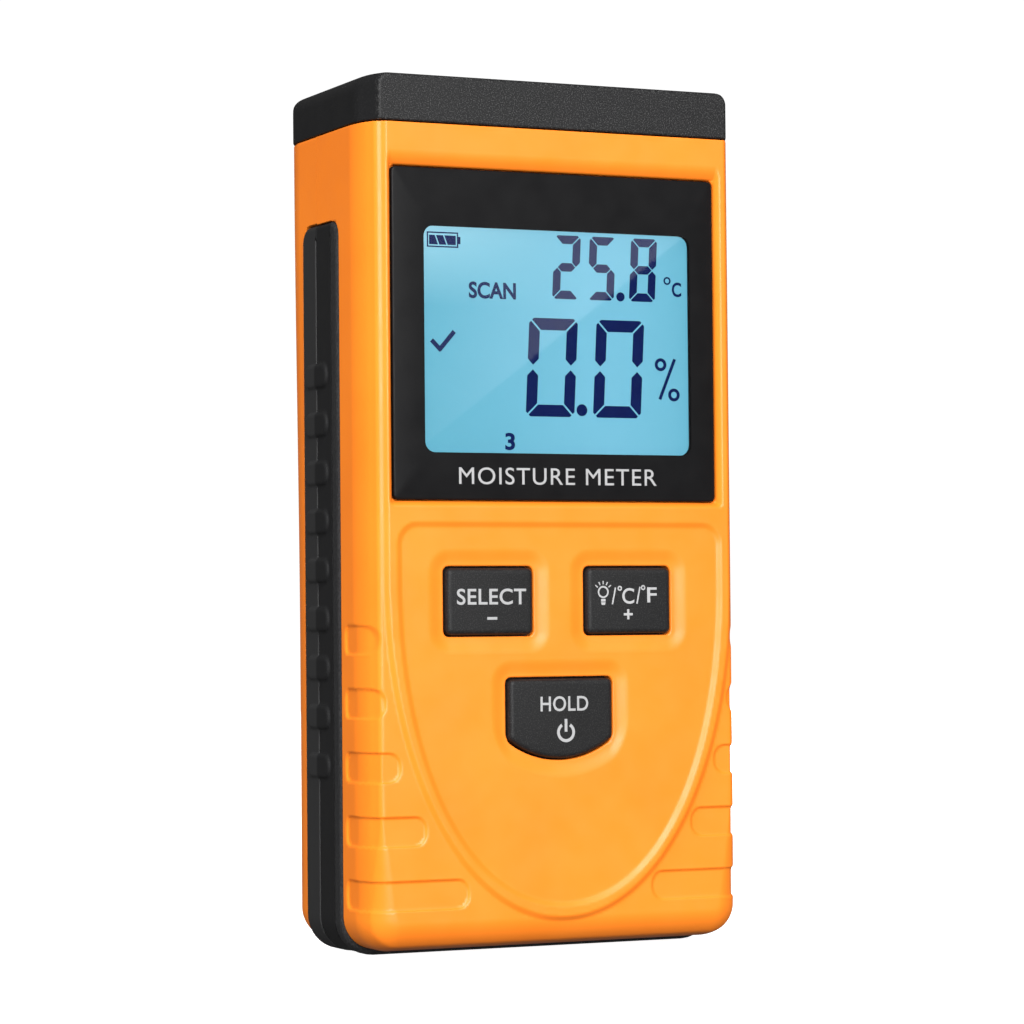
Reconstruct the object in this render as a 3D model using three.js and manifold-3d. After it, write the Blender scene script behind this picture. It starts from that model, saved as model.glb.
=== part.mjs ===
// A hand-held inductive (pinless) moisture meter for wood, standing upright on its lower end.
//
// Millimetres, +Z up. The display and keys face -Y and the sensing pad faces +Y. The origin is
// midway between the sides, midway between front and rear, at the height the meter rests on.
// Two orange shells meet at a seam, trap a U-shaped rubber band round their sides and lower end,
// and carry a black cover across the top. The circuit board hangs on the front shell with the
// display and the key switches on its front face. The rear shell holds the sensing electrodes
// and a tub for a 9 V battery, closed by a door that tips out about its lower edge.

import * as THREE from "three";
import { mergeVertices } from "three/addons/utils/BufferGeometryUtils.js";
import Module from "manifold-3d";

const wasm = await Module();
wasm.setup();

// ---------------------------------------------------------------- driving dimensions

const height = 145;
const depth = 36;
const gap = 0.1; // between pieces that are fastened together
const clearance = 0.3; // round pieces let into another one, and round the keys

const frontY = -depth / 2;
const padFaceY = depth / 2;
const rearY = padFaceY - 0.8; // the sensing pad stands this far out of the rear shell
const wall = 2;
const frontWall = 3;

const halfWidth = 34.4;
const cornerAcross = 2.3; // chamfer on the upright corners, measured along X
const cornerAlong = 4.7; // and along Y
const seamY = 3.8;
const shellBottomZ = 1.3;
const shellTopZ = 136.8;
const shellCornerRadius = 5.6;

const plateauHalfWidth = 32.4;
const plateauStep = 0.6;
const shieldWidestZ = 62;
const rimOuterBottomZ = 5.3;
const rimInnerBottomZ = 8.3;
const panelHalfWidth = 29.3;
const panelTopZ = 70.7;

const band = {
  frontY: -5.5, rearY: 10, topZ: 121.8, halfWidth: 34.7, thickness: 2.4, radius: 6,
  ribs: 9, lowestRibZ: 31.15, ribPitch: 8.15, ribHeight: 4.1, ribFrontY: -1.2, ribRearY: 8.6, ribRise: 0.45,
};

const cap = { bottomZ: shellTopZ + 0.2, cornerRadius: 2.6, wall: 2.2 };

const lens = {
  halfWidth: 29.7, bottomZ: 75, topZ: 129.6, cornerRadius: 0.9, frontY: frontY + 0.8, thickness: 1,
};
const lensMaskThickness = 0.2;
const displayWindow = { left: -24, right: 25.2, bottomZ: 82.8, topZ: 120.1, cornerRadius: 1.8 };

const key = { width: 15.7, height: 11, pitch: 25.6, z: 58.3, proud: 0.4, flange: 1 };
const holdKey = { halfWidth: 9.55, topZ: 45.4, sideZ: 35.6, bottomZ: 32.2, switchZ: 39 };

const grooves = { height: 4.8, pitch: 10.42, lowestZ: 10.45, depth: 0.4, rearY: -7 };
// How far the inner end of each finger groove stands from the middle, from the lowest one up.
const grooveInnerEnds = [17, 24.5, 29, 31.6, 32.5];

const board = { halfWidth: 28, bottomZ: 12, topZ: 127.5, frontY: -9, thickness: 1.6 };
board.rearY = board.frontY + board.thickness;
const boardScrewX = 25;
const boardScrewZ = [17.5, 70.5];

const caseScrews = [[-27, 131], [27, 131], [-23.5, 7.5], [23.5, 7.5]];
const caseScrewSeatY = 7;
const capScrewX = 18;
const capScrewY = 9;

const glass = { halfWidth: 27, bottomZ: 78, topZ: 122.6, thickness: 1.1, ledge: 3 };

const bay = { halfWidth: 14, bottomZ: 8.5, topZ: 64, frontY: -5, wall: 1.2 };
const door = { halfWidth: 17, bottomZ: 6, topZ: 66, thickness: 1.9, hookX: 10, hookWidth: 6 };
const battery = {
  width: 26.2, thickness: 17.3, bottomZ: 9.5, bodyHeight: 46.2, frontY: -4.1, studPitch: 12.7,
};

const pad = { halfWidth: 23, bottomZ: 86, topZ: 128, thickness: 1.7 };
const electrodeY = rearY - wall - gap; // rear faces of the electrodes, against the rear wall

// ---------------------------------------------------------------- materials

function finish(color, roughness, metalness = 0) {
  return new THREE.MeshStandardMaterial({ color, roughness, metalness });
}

const orangePlastic = finish(0xffa32e, 0.42);
const blackPlastic = finish(0x262626, 0.55);
const blackRubber = finish(0x232323, 0.7);
const clearPlastic = finish(0xdfe8ec, 0.08);
const printedFilm = finish(0x101112, 0.2);
const displayGlass = finish(0x9fd4e4, 0.1);
const whitePlastic = finish(0xf2f2ee, 0.5);
const boardLaminate = finish(0x1f6b3a, 0.5);
const chipEpoxy = finish(0x1b1b1d, 0.6);
const steel = finish(0xa8abb0, 0.35, 1);
const brass = finish(0xc8a24a, 0.35, 1);
const batteryWrap = finish(0x3a3d42, 0.4, 0.4);
const foam = finish(0x3c3c3f, 0.95);
const redVinyl = finish(0xb3231c, 0.5);
const blackVinyl = finish(0x19191a, 0.5);

// ---------------------------------------------------------------- solids

function solid(shape) {
  if (shape instanceof wasm.Manifold) {
    return shape;
  }
  const bare = shape.clone();
  bare.deleteAttribute("normal");
  bare.deleteAttribute("uv");
  const merged = mergeVertices(bare, 1e-4);
  const triVerts = new Uint32Array(merged.index.array);
  const vertProperties = new Float32Array(merged.attributes.position.array);
  return new wasm.Manifold(new wasm.Mesh({ numProp: 3, vertProperties, triVerts }));
}

function join(first, ...others) {
  return others.reduce((sum, other) => sum.add(solid(other)), solid(first));
}

function cut(first, ...others) {
  return others.reduce((rest, other) => rest.subtract(solid(other)), solid(first));
}

function common(first, ...others) {
  return others.reduce((shared, other) => shared.intersect(solid(other)), solid(first));
}

function geometryOf(shape) {
  if (!(shape instanceof wasm.Manifold)) {
    return shape;
  }
  const { vertProperties, triVerts } = shape.getMesh();
  const geometry = new THREE.BufferGeometry();
  geometry.setAttribute("position", new THREE.BufferAttribute(vertProperties, 3));
  geometry.setIndex(new THREE.BufferAttribute(triVerts, 1));
  geometry.computeVertexNormals();
  return geometry;
}

function block([x0, x1], [y0, y1], [z0, z1]) {
  const box = new THREE.BoxGeometry(x1 - x0, y1 - y0, z1 - z0);
  return box.translate((x0 + x1) / 2, (y0 + y1) / 2, (z0 + z1) / 2);
}

const curveSegments = 2; // three.js draws an arc with twice as many
const axisX = new THREE.Vector3(1, 0, 0);
const axisY = new THREE.Vector3(0, 1, 0);
const axisZ = new THREE.Vector3(0, 0, 1);

function extrude(outline, length) {
  return new THREE.ExtrudeGeometry(outline, { depth: length, bevelEnabled: false, curveSegments });
}

// An outline drawn in X and Z, from y0 to y1.
function slabY(outline, y0, y1) {
  const turn = new THREE.Matrix4().makeBasis(axisX, axisZ, axisY.clone().negate());
  return extrude(outline, y1 - y0).applyMatrix4(turn).translate(0, y1, 0);
}

// An outline drawn in Y and Z, from x0 to x1.
function slabX(outline, x0, x1) {
  const turn = new THREE.Matrix4().makeBasis(axisY, axisZ, axisX);
  return extrude(outline, x1 - x0).applyMatrix4(turn).translate(x0, 0, 0);
}

// An outline drawn in X and Y, from z0 to z1.
function slabZ(outline, z0, z1) {
  return extrude(outline, z1 - z0).translate(0, 0, z0);
}

function rodY(radius, y0, y1, x, z, sides = 16) {
  const rod = new THREE.CylinderGeometry(radius, radius, y1 - y0, sides);
  return rod.translate(x, (y0 + y1) / 2, z);
}

function rodZ(radius, z0, z1, x, y, sides = 16) {
  const rod = new THREE.CylinderGeometry(radius, radius, z1 - z0, sides).rotateX(Math.PI / 2);
  return rod.translate(x, y, (z0 + z1) / 2);
}

// A rectangle with one radius on its two lower corners and another on its two upper ones.
function roundedOutline(left, right, bottom, top, lowRadius, highRadius = lowRadius) {
  const outline = new THREE.Shape();
  const corner = (x, y, radius, start) => {
    if (radius > 0) {
      outline.absarc(x, y, radius, start, start + Math.PI / 2);
    } else {
      outline.lineTo(x, y);
    }
  };
  outline.moveTo(left + lowRadius, bottom);
  corner(right - lowRadius, bottom + lowRadius, lowRadius, -Math.PI / 2);
  corner(right - highRadius, top - highRadius, highRadius, 0);
  corner(left + highRadius, top - highRadius, highRadius, Math.PI / 2);
  corner(left + lowRadius, bottom + lowRadius, lowRadius, Math.PI);
  outline.closePath();
  return outline;
}

const balanced = (half, bottom, top, low, high) => roundedOutline(-half, half, bottom, top, low, high);

// Straight sides down to the widest height, then half of a superellipse: the shield on the front.
function shieldOutline(half, bottom, top, exponent = 2.1, steps = 22) {
  const outline = new THREE.Shape();
  outline.moveTo(-half, top);
  for (let i = 0; i <= steps; i += 1) {
    const angle = (Math.PI * i) / steps;
    const across = -Math.sign(Math.cos(angle)) * Math.abs(Math.cos(angle)) ** (2 / exponent);
    const down = Math.sin(angle) ** (2 / exponent);
    outline.lineTo(half * across, shieldWidestZ - (shieldWidestZ - bottom) * down);
  }
  outline.lineTo(half, top);
  outline.closePath();
  return outline;
}

// The case from above: a rectangle with its four upright corners cut off by long chamfers.
function planOutline(front, rear) {
  const outline = new THREE.Shape();
  const sideFront = frontY + cornerAlong;
  const sideRear = padFaceY - cornerAlong;
  const slope = cornerAcross / cornerAlong;
  const frontX = halfWidth - (sideFront - front) * slope;
  const rearX = halfWidth - (rear - sideRear) * slope;
  outline.moveTo(-frontX, front);
  outline.lineTo(frontX, front);
  outline.lineTo(halfWidth, sideFront);
  outline.lineTo(halfWidth, sideRear);
  outline.lineTo(rearX, rear);
  outline.lineTo(-rearX, rear);
  outline.lineTo(-halfWidth, sideRear);
  outline.lineTo(-halfWidth, sideFront);
  outline.closePath();
  return outline;
}

// ---------------------------------------------------------------- rubber band

// The band's space, and with a margin the channel it lies in: the outer U less the inner one.
function bandSpace(margin) {
  const inner = band.halfWidth - band.thickness;
  const innerRadius = band.radius - band.thickness;
  const outerU = balanced(band.halfWidth + margin, -margin, band.topZ + margin, band.radius + margin, 0);
  const innerU = balanced(inner - margin, band.thickness + margin, height, innerRadius - margin, 0);
  const sideView = roundedOutline(
    band.frontY - margin, band.rearY + margin, -height, band.topZ + margin, 0, 3 + margin);
  const u = cut(slabY(outerU, frontY, padFaceY), slabY(innerU, frontY - 1, padFaceY + 1));
  return common(u, slabX(sideView, -height, height));
}

function gripBand() {
  const ribRadius = band.ribHeight / 2 - 0.3;
  const ribReach = band.halfWidth + band.ribRise;
  let solidBand = bandSpace(0);
  for (let i = 0; i < band.ribs; i += 1) {
    const z = band.lowestRibZ + i * band.ribPitch;
    const rib = roundedOutline(
      band.ribFrontY, band.ribRearY, z - band.ribHeight / 2, z + band.ribHeight / 2, ribRadius);
    const acrossBoth = slabX(rib, -ribReach, ribReach);
    const between = block([-band.halfWidth + 1, band.halfWidth - 1], [frontY, padFaceY], [0, height]);
    solidBand = join(solidBand, cut(acrossBoth, between));
  }
  return solidBand;
}

// ---------------------------------------------------------------- shells

function caseOutside() {
  const face = frontY + plateauStep;
  const frontView = balanced(halfWidth, shellBottomZ, shellTopZ, shellCornerRadius, 0);
  const blockOut = common(
    slabY(frontView, face, rearY), slabZ(planOutline(face, rearY), shellBottomZ, shellTopZ));
  const plateau = slabY(shieldOutline(plateauHalfWidth, rimOuterBottomZ, shellTopZ), frontY, face + 1);
  const withinPlan = slabZ(planOutline(frontY, rearY), shellBottomZ, shellTopZ);
  return join(blockOut, common(plateau, withinPlan));
}

// The hollow: narrow where the band's channel comes in, wide ahead of it and behind it.
function caseHollow() {
  const ceiling = shellTopZ - wall;
  const floorZ = band.thickness + clearance + wall;
  const coreHalf = band.halfWidth - band.thickness - clearance - wall;
  const sideHalf = halfWidth - wall - 0.2;
  const innerFront = frontY + frontWall;
  const innerRear = rearY - wall;
  const coreOutline = balanced(coreHalf, floorZ, ceiling, 5, 0);
  const wideOutline = balanced(sideHalf, shellBottomZ + wall, ceiling, 7, 0);
  return join(
    slabY(coreOutline, innerFront, innerRear),
    slabY(wideOutline, innerFront, band.frontY - wall),
    slabY(wideOutline, band.rearY + wall, innerRear));
}

function emptyCase() {
  return cut(caseOutside(), caseHollow(), bandSpace(clearance));
}

// A finger groove crosses the lower corner of the front face and runs on round the side.
function fingerGroove(level, side) {
  const bottom = grooves.lowestZ - grooves.height / 2 + level * grooves.pitch;
  const top = bottom + grooves.height;
  const inner = grooveInnerEnds[level];
  const outer = halfWidth + 5;
  const radius = Math.min(grooves.height / 2 - 0.2, (halfWidth - inner) * 0.6);
  const face = frontY + plateauStep;
  const slot = roundedOutline(inner, outer, bottom, top, radius);
  const acrossFront = slabY(slot, frontY - 1, face + grooves.depth);
  const alongSide = slabX(
    roundedOutline(frontY - 1, grooves.rearY, bottom, top, 1.2), halfWidth - grooves.depth, outer);
  const groove = join(acrossFront, alongSide);
  return side > 0 ? groove : groove.mirror([1, 0, 0]);
}

function keyOutline(centreX, grow) {
  const half = { x: key.width / 2 + grow, z: key.height / 2 + grow };
  return roundedOutline(centreX - half.x, centreX + half.x, key.z - half.z, key.z + half.z, 1);
}

// Straight top and sides, and a shallow arc for the lower edge.
function holdOutline(grow) {
  const half = holdKey.halfWidth + grow;
  const sagitta = holdKey.sideZ - holdKey.bottomZ;
  const radius = (half * half + sagitta * sagitta) / (2 * sagitta);
  const centreZ = holdKey.bottomZ - grow + radius;
  const swing = Math.asin(half / radius);
  const outline = new THREE.Shape();
  outline.moveTo(half - 1, holdKey.topZ + grow);
  outline.absarc(-half + 1, holdKey.topZ + grow - 1, 1, Math.PI / 2, Math.PI);
  outline.absarc(0, centreZ, radius, -Math.PI / 2 - swing, -Math.PI / 2 + swing);
  outline.absarc(half - 1, holdKey.topZ + grow - 1, 1, 0, Math.PI / 2);
  outline.closePath();
  return outline;
}

function lensOutline(grow) {
  return balanced(
    lens.halfWidth + grow, lens.bottomZ - grow, lens.topZ + grow, lens.cornerRadius, lens.cornerRadius);
}

function windowOutline(grow) {
  const { left, right, bottomZ, topZ, cornerRadius } = displayWindow;
  return roundedOutline(left - grow, right + grow, bottomZ - grow, topZ + grow, cornerRadius);
}

function frontOpenings() {
  const pocket = lensOutline(0.2);
  const pocketFloorY = lens.frontY + lens.thickness + gap / 2 + lensMaskThickness + gap / 2;
  const ledge = 1.3;
  const view = windowOutline(ledge);
  const behind = frontY + frontWall + 1;
  const panel = shieldOutline(panelHalfWidth, rimInnerBottomZ, panelTopZ);
  return [
    slabY(panel, frontY - 1, frontY + plateauStep),
    slabY(pocket, frontY - 1, pocketFloorY),
    slabY(view, frontY - 1, behind),
    slabY(keyOutline(-key.pitch / 2, clearance), frontY - 1, behind),
    slabY(keyOutline(key.pitch / 2, clearance), frontY - 1, behind),
    slabY(holdOutline(clearance), frontY - 1, behind),
  ];
}

function frontShell() {
  const ahead = block([-height, height], [-height, seamY - gap / 2], [-height, 2 * height]);
  const innerFront = frontY + frontWall - 0.5;
  let shell = common(emptyCase(), ahead);
  for (const z of boardScrewZ) {
    for (const x of [-boardScrewX, boardScrewX]) {
      const boss = rodY(2.6, innerFront, board.frontY - gap, x, z);
      const hole = rodY(1.1, innerFront + 1.5, board.frontY, x, z, 12);
      shell = cut(join(shell, boss), hole);
    }
  }
  for (const [x, z] of caseScrews) {
    const boss = rodY(3, innerFront, seamY - gap / 2, x, z);
    shell = cut(join(shell, boss), rodY(1.2, -9, seamY + 1, x, z, 12));
  }
  for (let level = 0; level < grooveInnerEnds.length; level += 1) {
    shell = cut(shell, fingerGroove(level, -1), fingerGroove(level, 1));
  }
  return cut(shell, ...frontOpenings());
}

// The tub for the battery, with a rim for the door to close on and a notch for the leads.
function batteryTub() {
  const innerRear = rearY - wall;
  const rim = { x: door.halfWidth + 1.5, low: door.bottomZ - 1.3, high: door.topZ + 1.3 };
  const outer = block(
    [-bay.halfWidth - bay.wall, bay.halfWidth + bay.wall], [bay.frontY - bay.wall, innerRear],
    [bay.bottomZ - bay.wall, bay.topZ + bay.wall]);
  const flange = block([-rim.x, rim.x], [innerRear - 1.4, innerRear + 0.5], [rim.low, rim.high]);
  return join(outer, flange);
}

function tubOpenings() {
  const hookReach = door.hookWidth / 2 + 0.6;
  const space = block(
    [-bay.halfWidth, bay.halfWidth], [bay.frontY, rearY + 1], [bay.bottomZ, bay.topZ]);
  const doorway = block(
    [-door.halfWidth, door.halfWidth], [rearY - wall, rearY + 1], [door.bottomZ, door.topZ]);
  const leadNotch = block([-6, 6], [bay.frontY, -1.5], [bay.topZ - 1, bay.topZ + 2 * bay.wall]);
  const hookPockets = [-door.hookX, door.hookX].map((x) => block(
    [x - hookReach, x + hookReach], [rearY - wall - 3, rearY - wall], [4.2, 11]));
  return [space, doorway, leadNotch, ...hookPockets];
}

function rearShell() {
  const behind = block([-height, height], [seamY + gap / 2, height], [-height, 2 * height]);
  const innerRear = rearY - wall + 0.5;
  let shell = join(common(emptyCase(), behind), batteryTub());
  shell = cut(shell, ...tubOpenings());
  for (const [x, z] of caseScrews) {
    const boss = rodY(3.9, seamY + gap / 2, innerRear, x, z);
    const headHole = rodY(2.7, caseScrewSeatY, rearY + 1, x, z);
    shell = cut(join(shell, boss), headHole, rodY(1.5, seamY - 1, rearY, x, z, 12));
  }
  for (const x of [-capScrewX, capScrewX]) {
    shell = cut(shell, rodZ(1.4, shellTopZ - 2 * wall, shellTopZ + 1, x, capScrewY, 12));
  }
  const padPocket = balanced(
    pad.halfWidth + clearance, pad.bottomZ - clearance, pad.topZ + clearance, 3 + clearance);
  return cut(shell, slabY(padPocket, padFaceY - pad.thickness - gap, rearY + 1));
}

// ---------------------------------------------------------------- top cover

function topCap() {
  const frontView = roundedOutline(
    -halfWidth, halfWidth, cap.bottomZ, height, 0, cap.cornerRadius);
  const sideView = roundedOutline(frontY, padFaceY, cap.bottomZ, height, 0, 1);
  const outside = common(
    slabZ(planOutline(frontY, padFaceY), cap.bottomZ, height),
    slabY(frontView, frontY, padFaceY),
    slabX(sideView, -halfWidth, halfWidth));
  const hollow = block(
    [-halfWidth + 3, halfWidth - 3], [frontY + 3, padFaceY - 3], [cap.bottomZ - 1, height - cap.wall]);
  let cover = cut(outside, hollow);
  for (const x of [-capScrewX, capScrewX]) {
    const boss = rodZ(2.8, cap.bottomZ, height - 1, x, capScrewY);
    cover = cut(join(cover, boss), rodZ(1.05, cap.bottomZ - 1, cap.bottomZ + 5, x, capScrewY, 12));
  }
  return cover;
}

// ---------------------------------------------------------------- display

function lensPlate(y0, y1) {
  return slabY(lensOutline(0), y0, y1);
}

function lensMask(y0, y1) {
  return cut(lensPlate(y0, y1), slabY(windowOutline(0), y0 - 1, y1 + 1));
}

function displayFrame() {
  const outer = block(
    [-board.halfWidth, board.halfWidth], [frontY + frontWall + gap, board.frontY - gap],
    [glass.bottomZ - 1.2, glass.topZ + 1.4]);
  const inner = block(
    [-glass.halfWidth - 0.2, glass.halfWidth + 0.2], [frontY, 0], [glass.bottomZ - 0.2, glass.topZ + 0.2]);
  return cut(outer, inner);
}

// ---------------------------------------------------------------- keys

// A cap that fills its hole, a flange that keeps it in, and a stem that bears on the switch.
function keyCap(capOutline, flangeOutline, stemX, stemZ) {
  const faceY = frontY + plateauStep - key.proud;
  const flangeY = frontY + frontWall + gap;
  const capSolid = slabY(capOutline, faceY, flangeY + 0.5);
  const flange = slabY(flangeOutline, flangeY, flangeY + 1);
  return join(capSolid, flange, rodY(1.8, flangeY + 0.5, flangeY + 1.5, stemX, stemZ));
}

const switchHeight = 3.45;
const plungerTipY = board.frontY - gap - switchHeight - 0.85;

function switchBody() {
  const half = 3;
  const front = board.frontY - gap - switchHeight;
  const body = block([-half, half], [front, board.frontY - gap], [-half, half]);
  return cut(body, rodY(1.9, front - 1, front + 2.4, 0, 0));
}

function switchPlunger() {
  return rodY(1.6, plungerTipY, board.frontY - gap - switchHeight + 1.6, 0, 0);
}

// ---------------------------------------------------------------- circuit board

function circuitBoard() {
  const plate = balanced(board.halfWidth, board.bottomZ, board.topZ, 1.5);
  let laminate = slabY(plate, board.frontY, board.rearY);
  for (const z of boardScrewZ) {
    for (const x of [-boardScrewX, boardScrewX]) {
      laminate = cut(laminate, rodY(1.4, board.frontY - 1, board.rearY + 1, x, z, 12));
    }
  }
  return laminate;
}

// A chip on the board's rear face, with its row of leads simplified to a thin skirt.
function chip(width, tall, thick, leadReach) {
  const seat = board.rearY + gap;
  const body = block([-width / 2, width / 2], [seat + 0.2, seat + thick], [-tall / 2, tall / 2]);
  const reach = { x: width / 2 + leadReach, z: tall / 2 };
  return join(body, block([-reach.x, reach.x], [seat, seat + 0.4], [-reach.z, reach.z]));
}

function standingCan(radius, tall) {
  const rim = 0.4;
  const profile = [[0, 0], [radius, 0], [radius, tall - rim], [radius - rim, tall], [0, tall]];
  const points = profile.map(([x, y]) => new THREE.Vector2(x, y));
  return new THREE.LatheGeometry(points, 16).translate(0, board.rearY + gap, 0);
}

function drumCoil(radius, tall) {
  const flange = 1;
  const core = radius * 0.8;
  const profile = [
    [0, 0], [radius, 0], [radius, flange], [core, flange],
    [core, tall - flange], [radius, tall - flange], [radius, tall], [0, tall],
  ];
  const points = profile.map(([x, y]) => new THREE.Vector2(x, y));
  return new THREE.LatheGeometry(points, 16).translate(0, board.rearY + gap, 0);
}

function trimmer() {
  const seat = board.rearY + gap;
  const base = block([-3.2, 3.2], [seat, seat + 4.4], [-3.2, 3.2]);
  const slot = block([-1.5, 1.5], [seat + 4, seat + 5], [-0.3, 0.3]);
  return cut(join(base, rodY(1.9, seat + 4, seat + 4.8, 0, 0)), slot);
}

// ---------------------------------------------------------------- fasteners and leads

// A pan-head screw along +Y: the shank runs from the seat towards -Y.
function screw(headRadius, headTall, shankRadius, shankLong) {
  const edge = 0.3;
  const profile = [
    [0, -shankLong], [shankRadius * 0.4, -shankLong], [shankRadius, -shankLong + 1], [shankRadius, 0],
    [headRadius, 0], [headRadius, headTall - edge], [headRadius - edge, headTall], [0, headTall],
  ];
  const points = profile.map(([x, y]) => new THREE.Vector2(x, y));
  const body = new THREE.LatheGeometry(points, 12);
  const arm = headRadius * 0.6;
  const drive = [headTall * 0.4, headTall + 1];
  return cut(
    body, block([-arm, arm], drive, [-0.25, 0.25]), block([-0.25, 0.25], drive, [-arm, arm]));
}

function lead(radius, points) {
  const path = new THREE.CatmullRomCurve3(points.map((point) => new THREE.Vector3(...point)));
  const section = new THREE.Shape().absarc(0, 0, radius, 0, 2 * Math.PI);
  return new THREE.ExtrudeGeometry(section, { steps: 14, curveSegments: 4, extrudePath: path });
}

// ---------------------------------------------------------------- battery and its door

function batteryCase() {
  const half = battery.width / 2;
  const rear = battery.frontY + battery.thickness;
  const plan = new THREE.Shape();
  const round = 2;
  plan.moveTo(-half + round, battery.frontY);
  plan.absarc(half - round, battery.frontY + round, round, -Math.PI / 2, 0);
  plan.absarc(half - round, rear - round, round, 0, Math.PI / 2);
  plan.absarc(-half + round, rear - round, round, Math.PI / 2, Math.PI);
  plan.absarc(-half + round, battery.frontY + round, round, Math.PI, 1.5 * Math.PI);
  return slabZ(plan, battery.bottomZ, battery.bottomZ + battery.bodyHeight);
}

const studBaseZ = battery.bottomZ + battery.bodyHeight + gap;
const studTall = 2.6;
const batteryMidY = battery.frontY + battery.thickness / 2;

function snapPlate() {
  const bottom = studBaseZ + studTall + gap;
  return block([-12.5, 12.5], [batteryMidY - 5.5, batteryMidY + 5.5], [bottom, bottom + 2.4]);
}

// The door: a plate, two hooks at its lower edge, and a latch tongue freed by a U-shaped slot.
function batteryDoor() {
  const half = door.halfWidth - clearance;
  const low = door.bottomZ + clearance;
  const high = door.topZ - clearance;
  const innerY = rearY - door.thickness;
  const plate = slabY(roundedOutline(-half, half, low, high, 1.2), innerY, rearY);
  const hooks = [-door.hookX, door.hookX].map((x) => block(
    [x - door.hookWidth / 2, x + door.hookWidth / 2], [innerY - 2, innerY - 0.4], [low - 1.5, low + 3]));
  const bridges = [-door.hookX, door.hookX].map((x) => block(
    [x - door.hookWidth / 2, x + door.hookWidth / 2], [innerY - 0.8, innerY + 0.5], [low, low + 3]));
  const tongue = { half: 6, low: high - 9, slot: 0.8 };
  const slots = [-tongue.half, tongue.half].map((x) => block(
    [x - tongue.slot / 2, x + tongue.slot / 2], [innerY - 1, rearY + 1], [tongue.low, high + 1]));
  const grooveCuts = [2, 4, 6].map((down) => block(
    [-tongue.half + 1.4, tongue.half - 1.4], [rearY - 0.5, rearY + 1],
    [high - down - 0.4, high - down + 0.4]));
  return cut(join(plate, ...hooks, ...bridges), ...slots, ...grooveCuts);
}

// ---------------------------------------------------------------- assembly

const meter = new THREE.Group();

function place(name, shape, material, position = [0, 0, 0], parent = meter) {
  const mesh = new THREE.Mesh(geometryOf(shape), material);
  mesh.name = name;
  mesh.position.set(...position);
  parent.add(mesh);
  return mesh;
}

function placeCasing() {
  place("front_shell", frontShell(), orangePlastic);
  place("rear_shell", rearShell(), orangePlastic);
  place("top_cap", topCap(), blackPlastic);
  place("grip_band", gripBand(), blackRubber);
}

function placeDisplay() {
  const lensRear = lens.frontY + lens.thickness;
  const maskFront = lensRear + gap / 2;
  const glassFront = frontY + frontWall + 2 * gap;
  const rearGlass = glassFront + glass.thickness + gap;
  const guideFront = rearGlass + glass.thickness + 2 * gap;
  const wide = [-glass.halfWidth, glass.halfWidth];
  place("display_lens", lensPlate(lens.frontY, lensRear), clearPlastic);
  place("lens_mask", lensMask(maskFront, maskFront + lensMaskThickness), printedFilm);
  place("lcd_frame", displayFrame(), whitePlastic);
  place("lcd_front_glass",
    block(wide, [glassFront, glassFront + glass.thickness], [glass.bottomZ, glass.topZ]), displayGlass);
  place("lcd_rear_glass",
    block(wide, [rearGlass, rearGlass + glass.thickness], [glass.bottomZ + glass.ledge, glass.topZ]),
    displayGlass);
  place("backlight_guide",
    block([-24.5, 24.5], [guideFront, board.frontY - 0.6], [glass.bottomZ + 3.5, glass.topZ - 0.5]),
    whitePlastic);
  place("zebra_strip",
    block([-25, 25], [rearGlass, board.frontY - gap], [glass.bottomZ + 0.3, glass.bottomZ + 2.5]),
    blackRubber);
  for (const [name, side] of [["backlight_led_left", -1], ["backlight_led_right", 1]]) {
    const led = block([-0.9, 0.9], [guideFront + 0.2, board.frontY - gap], [-1.5, 1.5]);
    place(name, led, whitePlastic, [side * 25.8, 0, 101]);
  }
}

function placeKeys() {
  const flange = clearance + key.flange;
  const keys = [
    ["select", -key.pitch / 2, key.z, keyOutline(-key.pitch / 2, 0), keyOutline(-key.pitch / 2, flange)],
    ["unit", key.pitch / 2, key.z, keyOutline(key.pitch / 2, 0), keyOutline(key.pitch / 2, flange)],
    ["hold", 0, holdKey.switchZ, holdOutline(0), holdOutline(flange)],
  ];
  for (const [name, x, z, capOutline, flangeOutline] of keys) {
    place(`${name}_key`, keyCap(capOutline, flangeOutline, x, z), blackPlastic);
    place(`${name}_switch_plunger`, switchPlunger(), chipEpoxy, [x, 0, z]);
    place(`${name}_switch_body`, switchBody(), chipEpoxy, [x, 0, z]);
  }
}

function placeBoard() {
  place("main_board", circuitBoard(), boardLaminate);
  place("microcontroller", chip(12, 12, 1.6, 1.2), chipEpoxy, [-5, 0, 100]);
  place("sensor_amplifier", chip(3.9, 5, 1.5, 1.1), chipEpoxy, [17, 0, 108]);
  place("voltage_regulator", chip(3.5, 6.5, 1.6, 1.5), chipEpoxy, [-6, 0, 78]);
  place("crystal", chip(4.6, 11, 3.5, 0), steel, [10, 0, 90]);
  place("filter_capacitor", standingCan(2.5, 5.5), steel, [-20, 0, 88]);
  place("oscillator_coil", drumCoil(4, 5), brass, [20, 0, 94]);
  place("calibration_trimmer", trimmer(), whitePlastic, [-18, 0, 106]);
  place("temperature_sensor", standingCan(1.3, 2.4), chipEpoxy, [24, 0, 121]);
}

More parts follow.
